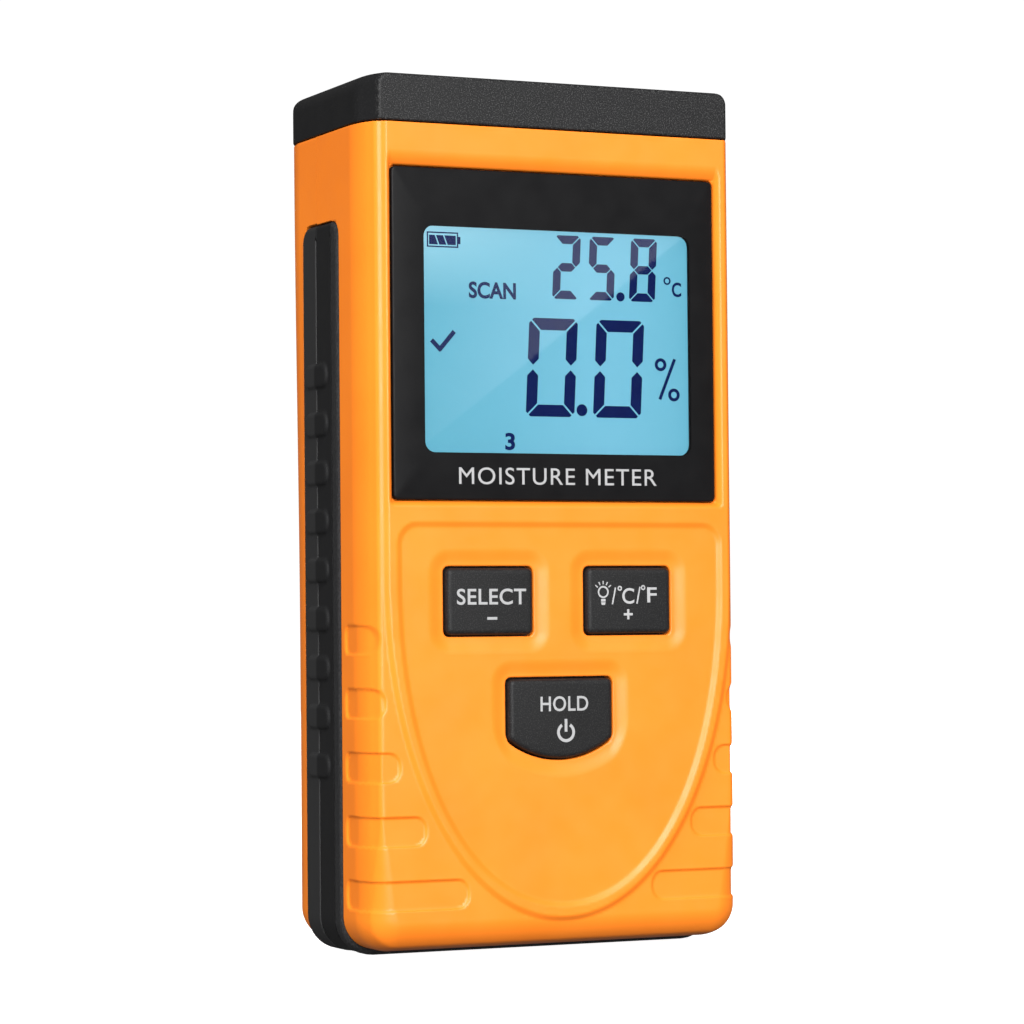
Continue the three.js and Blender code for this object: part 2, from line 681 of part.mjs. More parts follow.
function placeSensor() {
  const thick = 0.5;
  const padOutline = balanced(pad.halfWidth, pad.bottomZ, pad.topZ, 3);
  const midZ = (pad.bottomZ + pad.topZ) / 2;
  const square = (half) => [[-half, half], [electrodeY - thick, electrodeY], [midZ - half, midZ + half]];
  const around = [[-17.5, 17.5], [0, padFaceY], [midZ - 17.5, midZ + 17.5]];
  place("sensor_pad", slabY(padOutline, padFaceY - pad.thickness, padFaceY), blackPlastic);
  place("sensor_electrode", block(...square(15)), brass);
  place("guard_electrode", cut(block(...square(20)), block(...around)), brass);
  const from = electrodeY - thick - clearance;
  const to = board.rearY + clearance;
  const sensorRoute = [[4, from, 100], [5, 7, 100], [12, 0, 106], [15, -5, 116], [15, to, 117]];
  const guardRoute = [[-18.7, from, 110], [-18, 7, 111], [-13, 0, 114], [-10, -5, 117], [-10, to, 118]];
  place("sensor_lead", lead(0.6, sensorRoute), redVinyl);
  place("guard_lead", lead(0.6, guardRoute), blackVinyl);
}

function placeBattery() {
  const studs = [["battery_stud_positive", 1, 2.8], ["battery_stud_negative", -1, 4]];
  place("battery_case", batteryCase(), batteryWrap);
  for (const [name, side, radius] of studs) {
    const stud = rodZ(radius, studBaseZ, studBaseZ + studTall, 0, batteryMidY);
    place(name, stud, steel, [(side * battery.studPitch) / 2, 0, 0]);
  }
  place("battery_snap", snapPlate(), blackPlastic);
  const snapFront = batteryMidY - 5.5 - clearance;
  const leadZ = studBaseZ + studTall + 1.3;
  const leads = [["battery_lead_red", 3, redVinyl], ["battery_lead_black", -3, blackVinyl]];
  for (const [name, x, vinyl] of leads) {
    const route = [
      [x, snapFront, leadZ], [x, -2.5, leadZ + 1.2], [x, -3.3, 64], [x, -3.6, 68], [x, -5, 70.6],
      [x, board.rearY + clearance, 71.2],
    ];
    place(name, lead(0.65, route), vinyl);
  }
}

function placeDoor() {
  const rear = rearY - door.thickness - gap;
  const front = battery.frontY + battery.thickness + gap;
  place("battery_door", batteryDoor(), orangePlastic);
  place("battery_foam", block([-10, 10], [front, rear], [15, 50]), foam);
}

function placeScrews() {
  caseScrews.forEach(([x, z], i) => {
    const caseScrew = screw(2.4, 1.7, 1.05, 13.5);
    place(`case_screw_${i + 1}`, caseScrew, steel, [x, caseScrewSeatY + gap, z]);
  });
  const boardSpots = boardScrewZ.flatMap((z) => [[-boardScrewX, z], [boardScrewX, z]]);
  boardSpots.forEach(([x, z], i) => {
    place(`board_screw_${i + 1}`, screw(2.2, 1.4, 1, 5.5), steel, [x, board.rearY + gap, z]);
  });
  [-capScrewX, capScrewX].forEach((x, i) => {
    const mesh = place(`cap_screw_${i + 1}`, screw(2.2, 1.4, 0.95, 6.5), steel,
      [x, capScrewY, shellTopZ - wall - gap]);
    mesh.rotation.x = -Math.PI / 2;
  });
}

placeCasing();
placeDisplay();
placeKeys();
placeBoard();
placeSensor();
placeBattery();
placeDoor();
placeScrews();

export default meter;
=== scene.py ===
"""The looks of a hand-held moisture meter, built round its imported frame.

Lengths are in millimetres until a mesh is made, and MM turns them into metres. The display faces -Y.
The shells, cover, band and battery door are distance functions (negative inside), drawn as surface nets.
The keys, lens, pad, screws and battery are lofted from outlines. Markings are thin slabs.
"""

import math

import bmesh
import bpy
import numpy as np
from mathutils import Matrix, Vector


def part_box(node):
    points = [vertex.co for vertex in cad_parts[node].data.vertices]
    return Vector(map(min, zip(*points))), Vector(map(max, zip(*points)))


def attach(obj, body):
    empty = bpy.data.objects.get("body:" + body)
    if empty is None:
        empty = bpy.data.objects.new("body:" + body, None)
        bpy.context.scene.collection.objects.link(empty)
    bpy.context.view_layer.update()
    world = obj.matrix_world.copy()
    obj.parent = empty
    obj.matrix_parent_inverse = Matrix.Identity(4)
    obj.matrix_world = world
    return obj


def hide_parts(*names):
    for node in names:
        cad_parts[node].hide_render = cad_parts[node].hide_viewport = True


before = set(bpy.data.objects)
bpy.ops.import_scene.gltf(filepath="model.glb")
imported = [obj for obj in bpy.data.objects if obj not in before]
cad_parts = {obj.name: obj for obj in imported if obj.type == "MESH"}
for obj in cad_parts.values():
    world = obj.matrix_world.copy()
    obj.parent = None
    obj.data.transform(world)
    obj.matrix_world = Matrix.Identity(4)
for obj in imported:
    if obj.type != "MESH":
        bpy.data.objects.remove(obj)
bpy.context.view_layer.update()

MM = 0.001
CASE = "case"


# ---- sizes, from the frame

def corners(node):
    """Lowest and highest corner of a CAD node, in millimetres."""
    low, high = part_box(node)
    return np.round(np.array(low) / MM, 3), np.round(np.array(high) / MM, 3)


def centre(node):
    low, high = corners(node)
    return (low + high) / 2


SHELL_LOW, SHELL_HIGH = corners("front_shell")
CAP_LOW, CAP_HIGH = corners("top_cap")
BAND_LOW, BAND_HIGH = corners("grip_band")
LENS_LOW, LENS_HIGH = corners("display_lens")
PAD_LOW, PAD_HIGH = corners("sensor_pad")
DOOR_LOW, DOOR_HIGH = corners("battery_door")

HALF_WIDTH = SHELL_HIGH[0]
FRONT_Y = SHELL_LOW[1]
SEAM_Y = SHELL_HIGH[1]
REAR_Y = corners("rear_shell")[1][1]
BOTTOM_DROP = 0.2  # the shells' skins reach this far below their CAD solids
BOTTOM_Z = SHELL_LOW[2] - BOTTOM_DROP
TOP_Z = SHELL_HIGH[2]

CORNER_RADIUS = 5.6  # lower corners of the case, seen from the front
CHAMFER_ACROSS = 2.3  # upright corners of the case, seen from above
CHAMFER_ALONG = 4.7
SIDE_BLEND = 1.2  # softens the edge between a side and its chamfer
FRONT_EDGE, LOWEST_EDGE = 0.6, 2.9  # roundness of the front edge, high up and at the bottom
FACE_Y = FRONT_Y + 0.6  # the face outside the shield
PANEL_Y = FRONT_Y + 0.42  # the key panel inside it
WIDEST_Z = 62.0  # the shield narrows below this height
PANEL_TOP_Z, PANEL_TOP_RADIUS = 70.7, 3.0
SHIELD_SHIFT = 0.5  # the photo has it slightly off the middle
SHIELD_RIM = (32.15, 5.3, 2.05)  # half width, lowest point and squareness of its outer edge
SHIELD_PANEL = (29.25, 8.3, 2.11)  # and of the panel in it
RIM_SLOPE = 1.25  # width of the slope on each side of the rim

KEYS = ("select_key", "unit_key", "hold_key")
KEY_GAP = 0.3
KEY_FLANGE = 1.0
KEY_RADIUS = 1.0
HOLD_SAGITTA = 3.4  # how far the hold key's lower edge bows down
HOLD_FILLET = 0.9  # where that edge meets the key's sides
KEY_FACE_Y = corners("select_key")[0][1]
GLASS_FACE_Y = corners("lcd_front_glass")[0][1]

BAND_RIB_RISE = 0.45
BAND_HALF = BAND_HIGH[0] - BAND_RIB_RISE
BAND_THICKNESS = 2.4
BAND_RADIUS = 6.0
BAND_TOP_RADIUS = 2.8
BAND_GAP = 0.1


def grown(sides, by):
    """Left, right, low and high of a rectangle, moved outward."""
    left, right, low, high = sides
    return left - by, right + by, low - by, high + by


def front_view(low, high, by=0.0):
    """Left, right, low and high of a box seen from the front."""
    return grown((low[0], high[0], low[2], high[2]), by)


def key_box(name):
    """The part of a key that shows: its CAD box less the flange that keeps it in."""
    return front_view(*corners(name), -KEY_FLANGE - KEY_GAP)


def hold_radius(half):
    """The radius of the hold key's lower edge, from half the key's width."""
    return (half * half + HOLD_SAGITTA**2) / (2 * HOLD_SAGITTA)


# ---- distance functions

def ease(share):
    """0 to 1 along a smooth step."""
    share = np.clip(share, 0, 1)
    return share * share * (3 - 2 * share)


def both(a, b, radius):
    """Inside a and b, with the edge between them rounded."""
    corner = np.hypot(np.maximum(a + radius, 0), np.maximum(b + radius, 0))
    return np.minimum(np.maximum(a, b), -radius) + corner


def either(a, b, radius):
    """Inside a or b, with the valley between them rounded."""
    return -both(-a, -b, radius)


def cut(a, b, radius):
    """Inside a but not b, with the edge between them rounded."""
    return both(a, -b, radius)


def rectangle(x, z, left, right, low, high, radius, high_radius=None):
    """Distance to an upright rectangle, with one radius below and another above if it is given."""
    middle_z = (low + high) / 2
    if high_radius is not None:
        radius = np.where(z > middle_z, high_radius, radius)
    beside = np.abs(x - (left + right) / 2) - (right - left) / 2
    return both(beside, np.abs(z - middle_z) - (high - low) / 2, radius)


def shield(x, z, half, bottom, power):
    """Distance to a shield: upright sides above its widest height, a superellipse below."""
    reach = WIDEST_Z - bottom
    across = np.abs(x) / half
    down = np.maximum(WIDEST_Z - z, 0) / reach
    size = np.maximum((across**power + down**power) ** (1 / power), 1e-3)
    slope = np.hypot(across ** (power - 1) / half, down ** (power - 1) / reach)
    return (size - 1) / np.maximum(slope * size ** (1 - power), 1e-3)


def hold_shape(x, z, grow):
    """Distance to the hold key's outline: straight top and sides, an arc below."""
    left, half, low, high = grown(key_box("hold_key"), grow)
    radius = hold_radius(half)
    disc = np.hypot(x, z - low - radius) - radius
    return both(both(np.abs(x) - half, z - high, KEY_RADIUS), disc, HOLD_FILLET)


def key_shape(x, z, name, grow):
    if name == "hold_key":
        return hold_shape(x, z, grow)
    return rectangle(x, z, *grown(key_box(name), grow), KEY_RADIUS)


def case_outline(x, z):
    """Distance to the case seen from the front: a U, open at the top."""
    return both(np.abs(x) - HALF_WIDTH, BOTTOM_Z - z, CORNER_RADIUS)


def band_side_view(y, z, gap=0.0):
    """Distance to the band seen from the side, with rounded top corners."""
    top_z, far_below = BAND_HIGH[2] + gap, -20
    return rectangle(y, z, BAND_LOW[1] - gap, BAND_HIGH[1] + gap, far_below, top_z, 0.5, BAND_TOP_RADIUS)


def band_channel(x, y, z):
    """The channel that both shells have for the band."""
    return both(-(case_outline(x, z) + BAND_THICKNESS), band_side_view(y, z, BAND_GAP), 0.1)


def chamfer(outline, beyond):
    """Distance to a chamfer's plane, from the distances to the side and past the chamfer's start along Y."""
    length = math.hypot(CHAMFER_ALONG, CHAMFER_ACROSS)
    return (outline * CHAMFER_ALONG + beyond * CHAMFER_ACROSS) / length


# ---- surface nets

def graded(*stops):
    """Grid lines along one axis. Each stop is a place and the spacing from there to the next one."""
    runs = []
    for (start, spacing), (end, _) in zip(stops, stops[1:]):
        count = max(1, round((end - start) / spacing))
        runs.append(np.linspace(start, end, count, endpoint=False))
    return np.append(np.concatenate(runs), stops[-1][0])


def surface_net(value, axes):
    """Points and quads of the zero surface: a point in each cell it crosses, a quad round each grid line."""
    spots, rings = [], []
    for along in range(3):
        beside, above = (along + 1) % 3, (along + 2) % 3
        near, far = np.delete(value, -1, along), np.delete(value, 0, along)
        index = np.argwhere((near < 0) != (far < 0))
        start, end = near[tuple(index.T)], far[tuple(index.T)]
        spot = np.stack([axes[i][index[:, i]] for i in range(3)], axis=1)
        length = axes[along][index[:, along] + 1] - spot[:, along]
        spot[:, along] += length * start / (start - end)
        ring = []
        for step_beside, step_above in ((0, 0), (1, 0), (1, 1), (0, 1)):
            cell = index.copy()
            cell[:, beside] -= step_beside
            cell[:, above] -= step_above
            ring.append(np.ravel_multi_index(cell.T, value.shape))
        ring = np.stack(ring, axis=1)
        leaving = start < 0
        rings.append(np.where(leaving[:, None], ring, ring[:, ::-1]))
        spots.append(spot)
    spots, rings = np.concatenate(spots), np.concatenate(rings)
    _, quads = np.unique(rings, return_inverse=True)
    quads = quads.reshape(-1, 4)
    count = np.bincount(quads.ravel())
    repeated = np.repeat(spots, 4, axis=0)
    sums = [np.bincount(quads.ravel(), weights=repeated[:, i]) for i in range(3)]
    return np.stack(sums, axis=1) / count[:, None], quads


def gradient(shape, points, reach=0.02):
    """The slope of a distance function, by central differences."""
    slopes = []
    for i in range(3):
        step = np.zeros(3)
        step[i] = reach
        ahead, behind = (points + step).T, (points - step).T
        slopes.append((shape(*ahead) - shape(*behind)) / (2 * reach))
    return np.stack(slopes, axis=1)


def unit(vectors):
    return vectors / np.maximum(np.linalg.norm(vectors, axis=1), 1e-9)[:, None]


def sculpt(name, shape, stops, passes=3, furthest=0.25):
    """A closed mesh of a distance function: its net, drawn onto the surface, with the exact normals."""
    axes = [graded(*along) for along in stops]
    grid = np.meshgrid(*axes, indexing="ij", sparse=True)
    value = np.broadcast_to(shape(*grid), [len(axis) for axis in axes])
    points, quads = surface_net(value, axes)
    for _ in range(passes):
        slope = gradient(shape, points)
        steep = np.maximum((slope * slope).sum(axis=1), 0.05)
        move = slope * (shape(*points.T) / steep)[:, None]
        length = np.maximum(np.linalg.norm(move, axis=1), 1e-9)
        points -= move * np.minimum(1, furthest / length)[:, None]
    return mesh_object(name, points, quads.tolist(), unit(gradient(shape, points)))


def linked(name, data):
    """A new object in the scene."""
    thing = bpy.data.objects.new(name, data)
    bpy.context.scene.collection.objects.link(thing)
    return thing


def mesh_object(name, points, faces, normals=None):
    """A mesh object from points in millimetres, shaded smooth if each point has a normal."""
    mesh = bpy.data.meshes.new(name)
    mesh.from_pydata(np.asarray(points) * MM, [], faces)
    if normals is not None:
        mesh.polygons.foreach_set("use_smooth", np.ones(len(mesh.polygons), bool))
        mesh.normals_split_custom_set_from_vertices(normals)
    return linked(name, mesh)


def carve(thing, tool):
    combine(thing, tool, "DIFFERENCE")


def weld(thing, part):
    combine(thing, part, "UNION")


def combine(thing, other, operation):
    """Cuts other out of thing, or joins it on, and removes other."""
    modifier = thing.modifiers.new("combine", "BOOLEAN")
    modifier.operation = operation
    modifier.solver = "MANIFOLD"
    modifier.object = other
    bpy.context.view_layer.update()
    graph = bpy.context.evaluated_depsgraph_get()
    made = bpy.data.meshes.new_from_object(thing.evaluated_get(graph))
    thing.modifiers.clear()
    old, thing.data = thing.data, made
    bpy.data.meshes.remove(old)
    made.name = thing.name
    bpy.data.objects.remove(other)


def read(items, field, width, kind=float):
    """One field of all items, as rows of the width."""
    values = np.empty(len(items) * width, kind)
    items.foreach_get(field, values)
    return values.reshape(-1, width)


def restore_normals(thing, shape, near=0.02, aligned=0.5):
    """After cuts, the sculpted surface gets its exact normals back, and the cut faces stay flat."""
    mesh = thing.data
    points = read(mesh.vertices, "co", 3) / MM
    exact = unit(gradient(shape, points))
    on_surface = np.abs(shape(*points.T)) < near
    corner_point = read(mesh.loops, "vertex_index", 1, int).ravel()
    counts = read(mesh.polygons, "loop_total", 1, int).ravel()
    flat = np.repeat(read(mesh.polygons, "normal", 3), counts, axis=0)
    curved = exact[corner_point]
    keep = on_surface[corner_point] & ((curved * flat).sum(axis=1) > aligned)
    mesh.polygons.foreach_set("use_smooth", np.ones(len(mesh.polygons), bool))
    mesh.normals_split_custom_set(np.where(keep[:, None], curved, flat))
    return thing


def block(name, low, high):
    """A box, used to cut and join."""
    points = [(x, y, z) for x in (low[0], high[0]) for y in (low[1], high[1]) for z in (low[2], high[2])]
    faces = [(0, 1, 3, 2), (4, 6, 7, 5), (0, 4, 5, 1), (2, 3, 7, 6), (0, 2, 6, 4), (1, 5, 7, 3)]
    return mesh_object(name, points, faces)


def rod(name, x, z, radius, near, far, upright=False):
    """A round bar along Y, or standing on Z, used to cut and join."""
    return loft(name, circle(x, z, radius, 48), [(0, near), (0, far)], upright)


# ---- lofted plates

def arc(x, z, radius, start, end, steps=8):
    """Points on an arc, angles in degrees."""
    angles = np.radians(np.linspace(start, end, steps + 1))
    return [(x + radius * math.cos(a), z + radius * math.sin(a)) for a in angles]


def joined(*stretches):
    """One outline from several stretches, without the points that they share."""
    points = [point for stretch in stretches for point in stretch]
    return [
        point for point, before in zip(points, points[-1:] + points)
        if math.dist(point, before) > 1e-4]


def plate_outline(left, right, low, high, radius, high_radius=None, steps=8):
    top = radius if high_radius is None else high_radius
    return joined(
        arc(right - radius, low + radius, radius, -90, 0, steps),
        arc(right - top, high - top, top, 0, 90, steps),
        arc(left + top, high - top, top, 90, 180, steps),
        arc(left + radius, low + radius, radius, 180, 270, steps))


def hold_outline():
    """The hold key's outline: straight top and sides, and a wide arc below with filleted ends."""
    left, half, low, high = key_box("hold_key")
    radius = hold_radius(half)
    middle = low + radius
    fillet_x, top_x, top_z = half - HOLD_FILLET, half - KEY_RADIUS, high - KEY_RADIUS
    fillet_z = middle - math.sqrt((radius - HOLD_FILLET) ** 2 - fillet_x**2)
    meet = math.degrees(math.atan2(fillet_z - middle, fillet_x))
    right = arc(fillet_x, fillet_z, HOLD_FILLET, meet, 0) + arc(top_x, top_z, KEY_RADIUS, 0, 90)
    left = [(-x, z) for x, z in reversed(right)]
    return joined(arc(0, middle, radius, -180 - meet, meet, 20), right, left)


def inward(outline):
    """The inward direction at each point of an outline that runs anticlockwise."""
    points = np.asarray(outline)
    ahead = unit(np.roll(points, -1, axis=0) - points)
    along = unit(ahead + np.roll(ahead, 1, axis=0))
    return np.stack([-along[:, 1], along[:, 0]], axis=1)


def skin(name, rings):
    """A closed mesh through rings of points. The first ring is the nearest, and runs anticlockwise."""
    count = len(rings[0])
    faces = [tuple(range(count)), tuple(reversed(range((len(rings) - 1) * count, len(rings) * count)))]
    for step in range(len(rings) - 1):
        for i in range(count):
            after = (i + 1) % count
            near, far = step * count, (step + 1) * count
            faces.append((near + after, near + i, far + i, far + after))
    return mesh_object(name, np.concatenate(rings), faces)


def ring_of(outline, inset, place, upright=False):
    """An outline moved inward and put at a place along Y, or along Z if it is drawn in X and Y."""
    points = np.asarray(outline) + inward(outline) * inset
    level = np.full(len(points), place)
    columns = (points[:, 0], points[:, 1], level) if upright else (points[:, 0], level, points[:, 1])
    return np.stack(columns, axis=1)


def loft(name, outline, profile, upright=False):
    """A closed plate. Each step of the profile is (inset, place), from low Y, or from high Z if upright."""
    return skin(name, [ring_of(outline, inset, place, upright) for inset, place in profile])


def smooth(thing, angle=40):
    """Smooth shading with sharp edges kept where faces meet at more than the angle."""
    thing.data.shade_smooth()
    thing.data.set_sharp_from_angle(angle=math.radians(angle))
    return thing


# ---- markings

def slab_of(curve):
    """Points and faces of a curve's filled, extruded shape, with shared corners merged."""
    holder = linked("outline", curve)
    bpy.context.view_layer.update()
    graph = bpy.context.evaluated_depsgraph_get()
    filled = bmesh.new()
    evaluated = holder.evaluated_get(graph)
    filled.from_mesh(evaluated.to_mesh())
    evaluated.to_mesh_clear()
    bmesh.ops.remove_doubles(filled, verts=filled.verts, dist=1e-5)
    points = np.array([vertex.co for vertex in filled.verts])
    faces = [[vertex.index for vertex in face.verts] for face in filled.faces]
    filled.free()
    bpy.data.objects.remove(holder)
    bpy.data.curves.remove(curve)
    return points, faces


def cut_outlines(outlines, half_depth):
    """A slab from closed outlines in X and Z. An outline inside another one is a hole."""
    curve = bpy.data.curves.new("outlines", "CURVE")
    curve.dimensions = "2D"
    curve.fill_mode = "BOTH"
    curve.extrude = half_depth
    for outline in outlines:
        spline = curve.splines.new("POLY")
        spline.points.add(len(outline) - 1)
        for point, (x, z) in zip(spline.points, outline):
            point.co = (x, z, 0, 1)
        spline.use_cyclic_u = True
    return slab_of(curve)


def cut_words(words, left, right, low, high, half_depth, weight=0.0, spacing=1.0):
    """Words in the built-in typeface, fitted to a box in X and Z."""
    curve = bpy.data.curves.new("words", "FONT")
    curve.body = words
    curve.size = high - low
    curve.offset = weight
    curve.extrude = half_depth
    curve.space_character = spacing
    curve.resolution_u = 6
    points, faces = slab_of(curve)
    least, most = points.min(axis=0), points.max(axis=0)
    points[:, 0] = left + (points[:, 0] - least[0]) * (right - left) / (most[0] - least[0])
    points[:, 1] = low + (points[:, 1] - least[1]) * (high - low) / (most[1] - least[1])
    return points, faces


def marking(name, slabs, y, body, slot, finish):
    """One thin piece from several slabs, lying on the plane y and facing -Y."""
    points, faces, total = [], [], 0
    for slab_points, slab_faces in slabs:
        points.append(np.stack([slab_points[:, 0], y - slab_points[:, 2], slab_points[:, 1]], axis=1))
        faces += [[corner + total for corner in face] for face in slab_faces]
        total += len(slab_points)
    return dress(mesh_object(name, np.concatenate(points), faces), slot, body, finish=finish)


def box_outline(left, right, low, high):
    return [(left, low), (right, low), (right, high), (left, high)]


def circle(x, z, radius, steps=28):
    return arc(x, z, radius, 0, 360, steps)[:-1]


def ring(x, z, outer, inner):
    return [circle(x, z, outer), circle(x, z, inner)]


def stroke(start, end, width):
    """A straight stroke from one point to another."""
    (x0, z0), (x1, z1) = start, end
    length = math.hypot(x1 - x0, z1 - z0)
    dx, dz = (x1 - x0) / length * width / 2, (z1 - z0) / length * width / 2
    return [(x0 + dz, z0 - dx), (x1 + dz, z1 - dx), (x1 - dz, z1 + dx), (x0 - dz, z0 + dx)]


# ---- materials

class Finish:
    """A node material with a principled shader, and short ways to add nodes to it."""

    def __init__(self, name, **uniform):
        self.slot = name
        self.material = bpy.data.materials.new(name)
        self.material.use_nodes = True
        self.tree = self.material.node_tree
        self.shader = self.tree.nodes["Principled BSDF"]
        for socket, value in uniform.items():
            self.shader.inputs[socket.replace("_", " ")].default_value = value

    def add(self, kind, inputs, output=0, **settings):
        made = self.tree.nodes.new("ShaderNode" + kind)
        for key, value in settings.items():
            setattr(made, key, value)
        for socket, value in inputs.items():
            if isinstance(value, bpy.types.NodeSocket):
                self.tree.links.new(value, made.inputs[socket])
            else:
                made.inputs[socket].default_value = value
        return made.outputs[output]

    def drive(self, socket, value):
        self.tree.links.new(value, self.shader.inputs[socket])

    def place(self):
        return self.add("TexCoord", {}, "Object")

    def along(self, axis):
        return self.add("SeparateXYZ", {"Vector": self.place()}, axis)

    def noise(self, size, detail=2.0):
        """Noise from 0 to 1 whose lumps are about size millimetres across."""
        return self.add("TexNoise", {"Vector": self.place(), "Scale": 1 / (size * MM), "Detail": detail})

    def remap(self, value, low, high, new_low, new_high):
        ends = {"Value": value, "From Min": low, "From Max": high, "To Min": new_low, "To Max": new_high}
        return self.add("MapRange", ends)

    def blend(self, share, first, second):
        """A colour from first to second, where first may be a socket. The mix node's colours are 6 and 7."""
        if not isinstance(first, bpy.types.NodeSocket):
            first = (*first, 1)
        return self.add("Mix", {0: share, 6: first, 7: (*second, 1)}, 2, data_type="RGBA")

    def maths(self, operation, first, second):
        return self.add("Math", {0: first, 1: second}, operation=operation)

    def bump(self, height, depth):
        """Raises the surface by up to depth millimetres."""
        return self.add("Bump", {"Height": height, "Distance": depth * MM, "Strength": 1.0})


def moulded(name, light, dark, roughness, grain, depth, patch=18.0, swing=0.06, **uniform):
    """Moulded plastic or rubber: patchy colour, uneven gloss and a fine raised grain."""
    made = Finish(name, **uniform)
    patches = made.remap(made.noise(patch, 3), 0.35, 0.65, 0, 1)
    made.drive("Base Color", made.blend(patches, dark, light))
    uneven = made.remap(made.noise(patch / 4, 4), 0.3, 0.7, roughness - swing, roughness + swing)
    made.drive("Roughness", uneven)
    made.drive("Normal", made.bump(made.noise(grain, 3), depth))
    return made


def orange_plastic():
    light, dark = (0.93, 0.232, 0.016), (0.90, 0.215, 0.014)
    return moulded("orange_plastic", light, dark, 0.42, 0.16, 0.006, Specular_IOR_Level=0.38)


def black_plastic(name="black_plastic", speck=0.026, grain=0.01, front_y=None):
    """Black plastic with a spark-eroded grain of pale high spots, mostly near front_y if it is given."""
    made = Finish(name, Specular_IOR_Level=0.22)
    high_spots = made.remap(made.noise(0.2, 2), 0.53, 0.65, 0, 1)
    if front_y is not None:
        at_front = made.remap(made.along("Y"), (front_y + 0.15) * MM, (front_y + 0.9) * MM, 1, 0.12)
        high_spots = made.maths("MULTIPLY", high_spots, at_front)
    made.drive("Base Color", made.blend(high_spots, (0.0095, 0.0095, 0.01), (speck, speck, speck)))
    made.drive("Roughness", made.remap(made.noise(4.5, 4), 0.3, 0.7, 0.44, 0.56))
    made.drive("Normal", made.bump(high_spots, grain))
    return made


def grip_rubber():
    """Rubber with painted light: darker ahead of the seam than behind it as painted shade, and a paler,
    grainy lip as a painted highlight.
    """
    made = moulded(
        "grip_rubber", (0.017, 0.017, 0.0175), (0.014, 0.014, 0.0145), 0.6, 0.3, 0.01,
        Specular_IOR_Level=0.35)
    along = made.along("Y")
    # painted shade: the half ahead of the seam is painted darker and the half behind it paler, as light falls
    # on them
    behind = made.remap(along, (SEAM_Y - 0.4) * MM, (SEAM_Y + 0.2) * MM, 0, 1)
    lit_and_shaded_halves = made.blend(behind, (0.010, 0.010, 0.0105), (0.023, 0.023, 0.0235))
    # painted highlight: a pale, grainy stripe painted along the lip's edge
    lip_highlight_grain = made.remap(made.noise(0.35, 2), 0.4, 0.65, 0.2, 1)
    painted_lip_highlight = made.maths("MULTIPLY", lip_highlight_grain, made.remap(along, (LIP_Y - 0.5) * MM, LIP_Y * MM, 1, 0))
    made.drive("Base Color", made.blend(painted_lip_highlight, lit_and_shaded_halves, (0.03, 0.03, 0.031)))
    return made


def clear_lens():
    return Finish(
        "clear_lens", Transmission_Weight=1.0, IOR=1.49, Roughness=0.015,
        Base_Color=(0.97, 0.99, 1.0, 1.0), Specular_IOR_Level=0.25)


def printed_mask():
    return moulded(
        "printed_mask", (0.0065, 0.0065, 0.007), (0.0055, 0.0055, 0.006), 0.4, 0.4, 0.0015,
        Specular_IOR_Level=0.1)


def pale_print():
    return moulded("pale_print", (0.38, 0.38, 0.385), (0.33, 0.33, 0.335), 0.5, 0.2, 0.004)


def lit_display():
    """The display's face, lit from behind: brightest right of the middle, and cloudy. Its top left is paler
    still with a painted reflection, a sheen painted into its glow.
    """
    made = Finish(
        "lit_display", Base_Color=(0.02, 0.05, 0.06, 1), Roughness=0.4, Specular_IOR_Level=0.1,
        Emission_Strength=1.0)
    across = made.along("X")
    rise = made.remap(across, -0.026, 0.008, 0, 1)
    fall = made.remap(across, 0.012, 0.03, 1, 0.3)
    middle = made.maths("MULTIPLY", rise, fall)
    cloud = made.remap(made.noise(14, 1), 0.3, 0.7, -0.06, 0.06)
    share = made.maths("ADD", middle, cloud)
    body = made.blend(share, (0.105, 0.425, 0.575), (0.175, 0.52, 0.70))
    # painted reflection: a pale sheen painted over the display's top left corner
    left = made.remap(across, 0.004, -0.022, 0, 1)
    corner = made.maths("MULTIPLY", left, made.remap(made.along("Z"), 0.107, 0.122, 0, 1))
    made.drive("Emission Color", made.blend(corner, body, (0.36, 0.70, 0.84)))
    return made


def lit_segment():
    """The display's dark marks, which the light behind leaves slightly blue."""
    made = Finish(
        "lit_segment", Base_Color=(0, 0, 0.002, 1), Roughness=0.6, Specular_IOR_Level=0.0,
        Emission_Strength=1.0)
    ink = made.remap(made.noise(3, 1), 0.3, 0.7, 0, 1)
    made.drive("Emission Color", made.blend(ink, (0.0005, 0.0085, 0.085), (0.001, 0.011, 0.098)))
    return made


def metal(name, light, dark, roughness):
    """Plated metal: a fine uneven surface, uneven gloss and a few duller patches."""
    made = Finish(name, Metallic=1.0)
    patches = made.remap(made.noise(2.5, 3), 0.4, 0.62, 0, 1)
    made.drive("Base Color", made.blend(patches, dark, light))
    made.drive("Roughness", made.remap(made.noise(0.6, 3), 0.3, 0.7, roughness - 0.1, roughness + 0.12))
    made.drive("Normal", made.bump(made.noise(0.25, 2), 0.01))
    return made


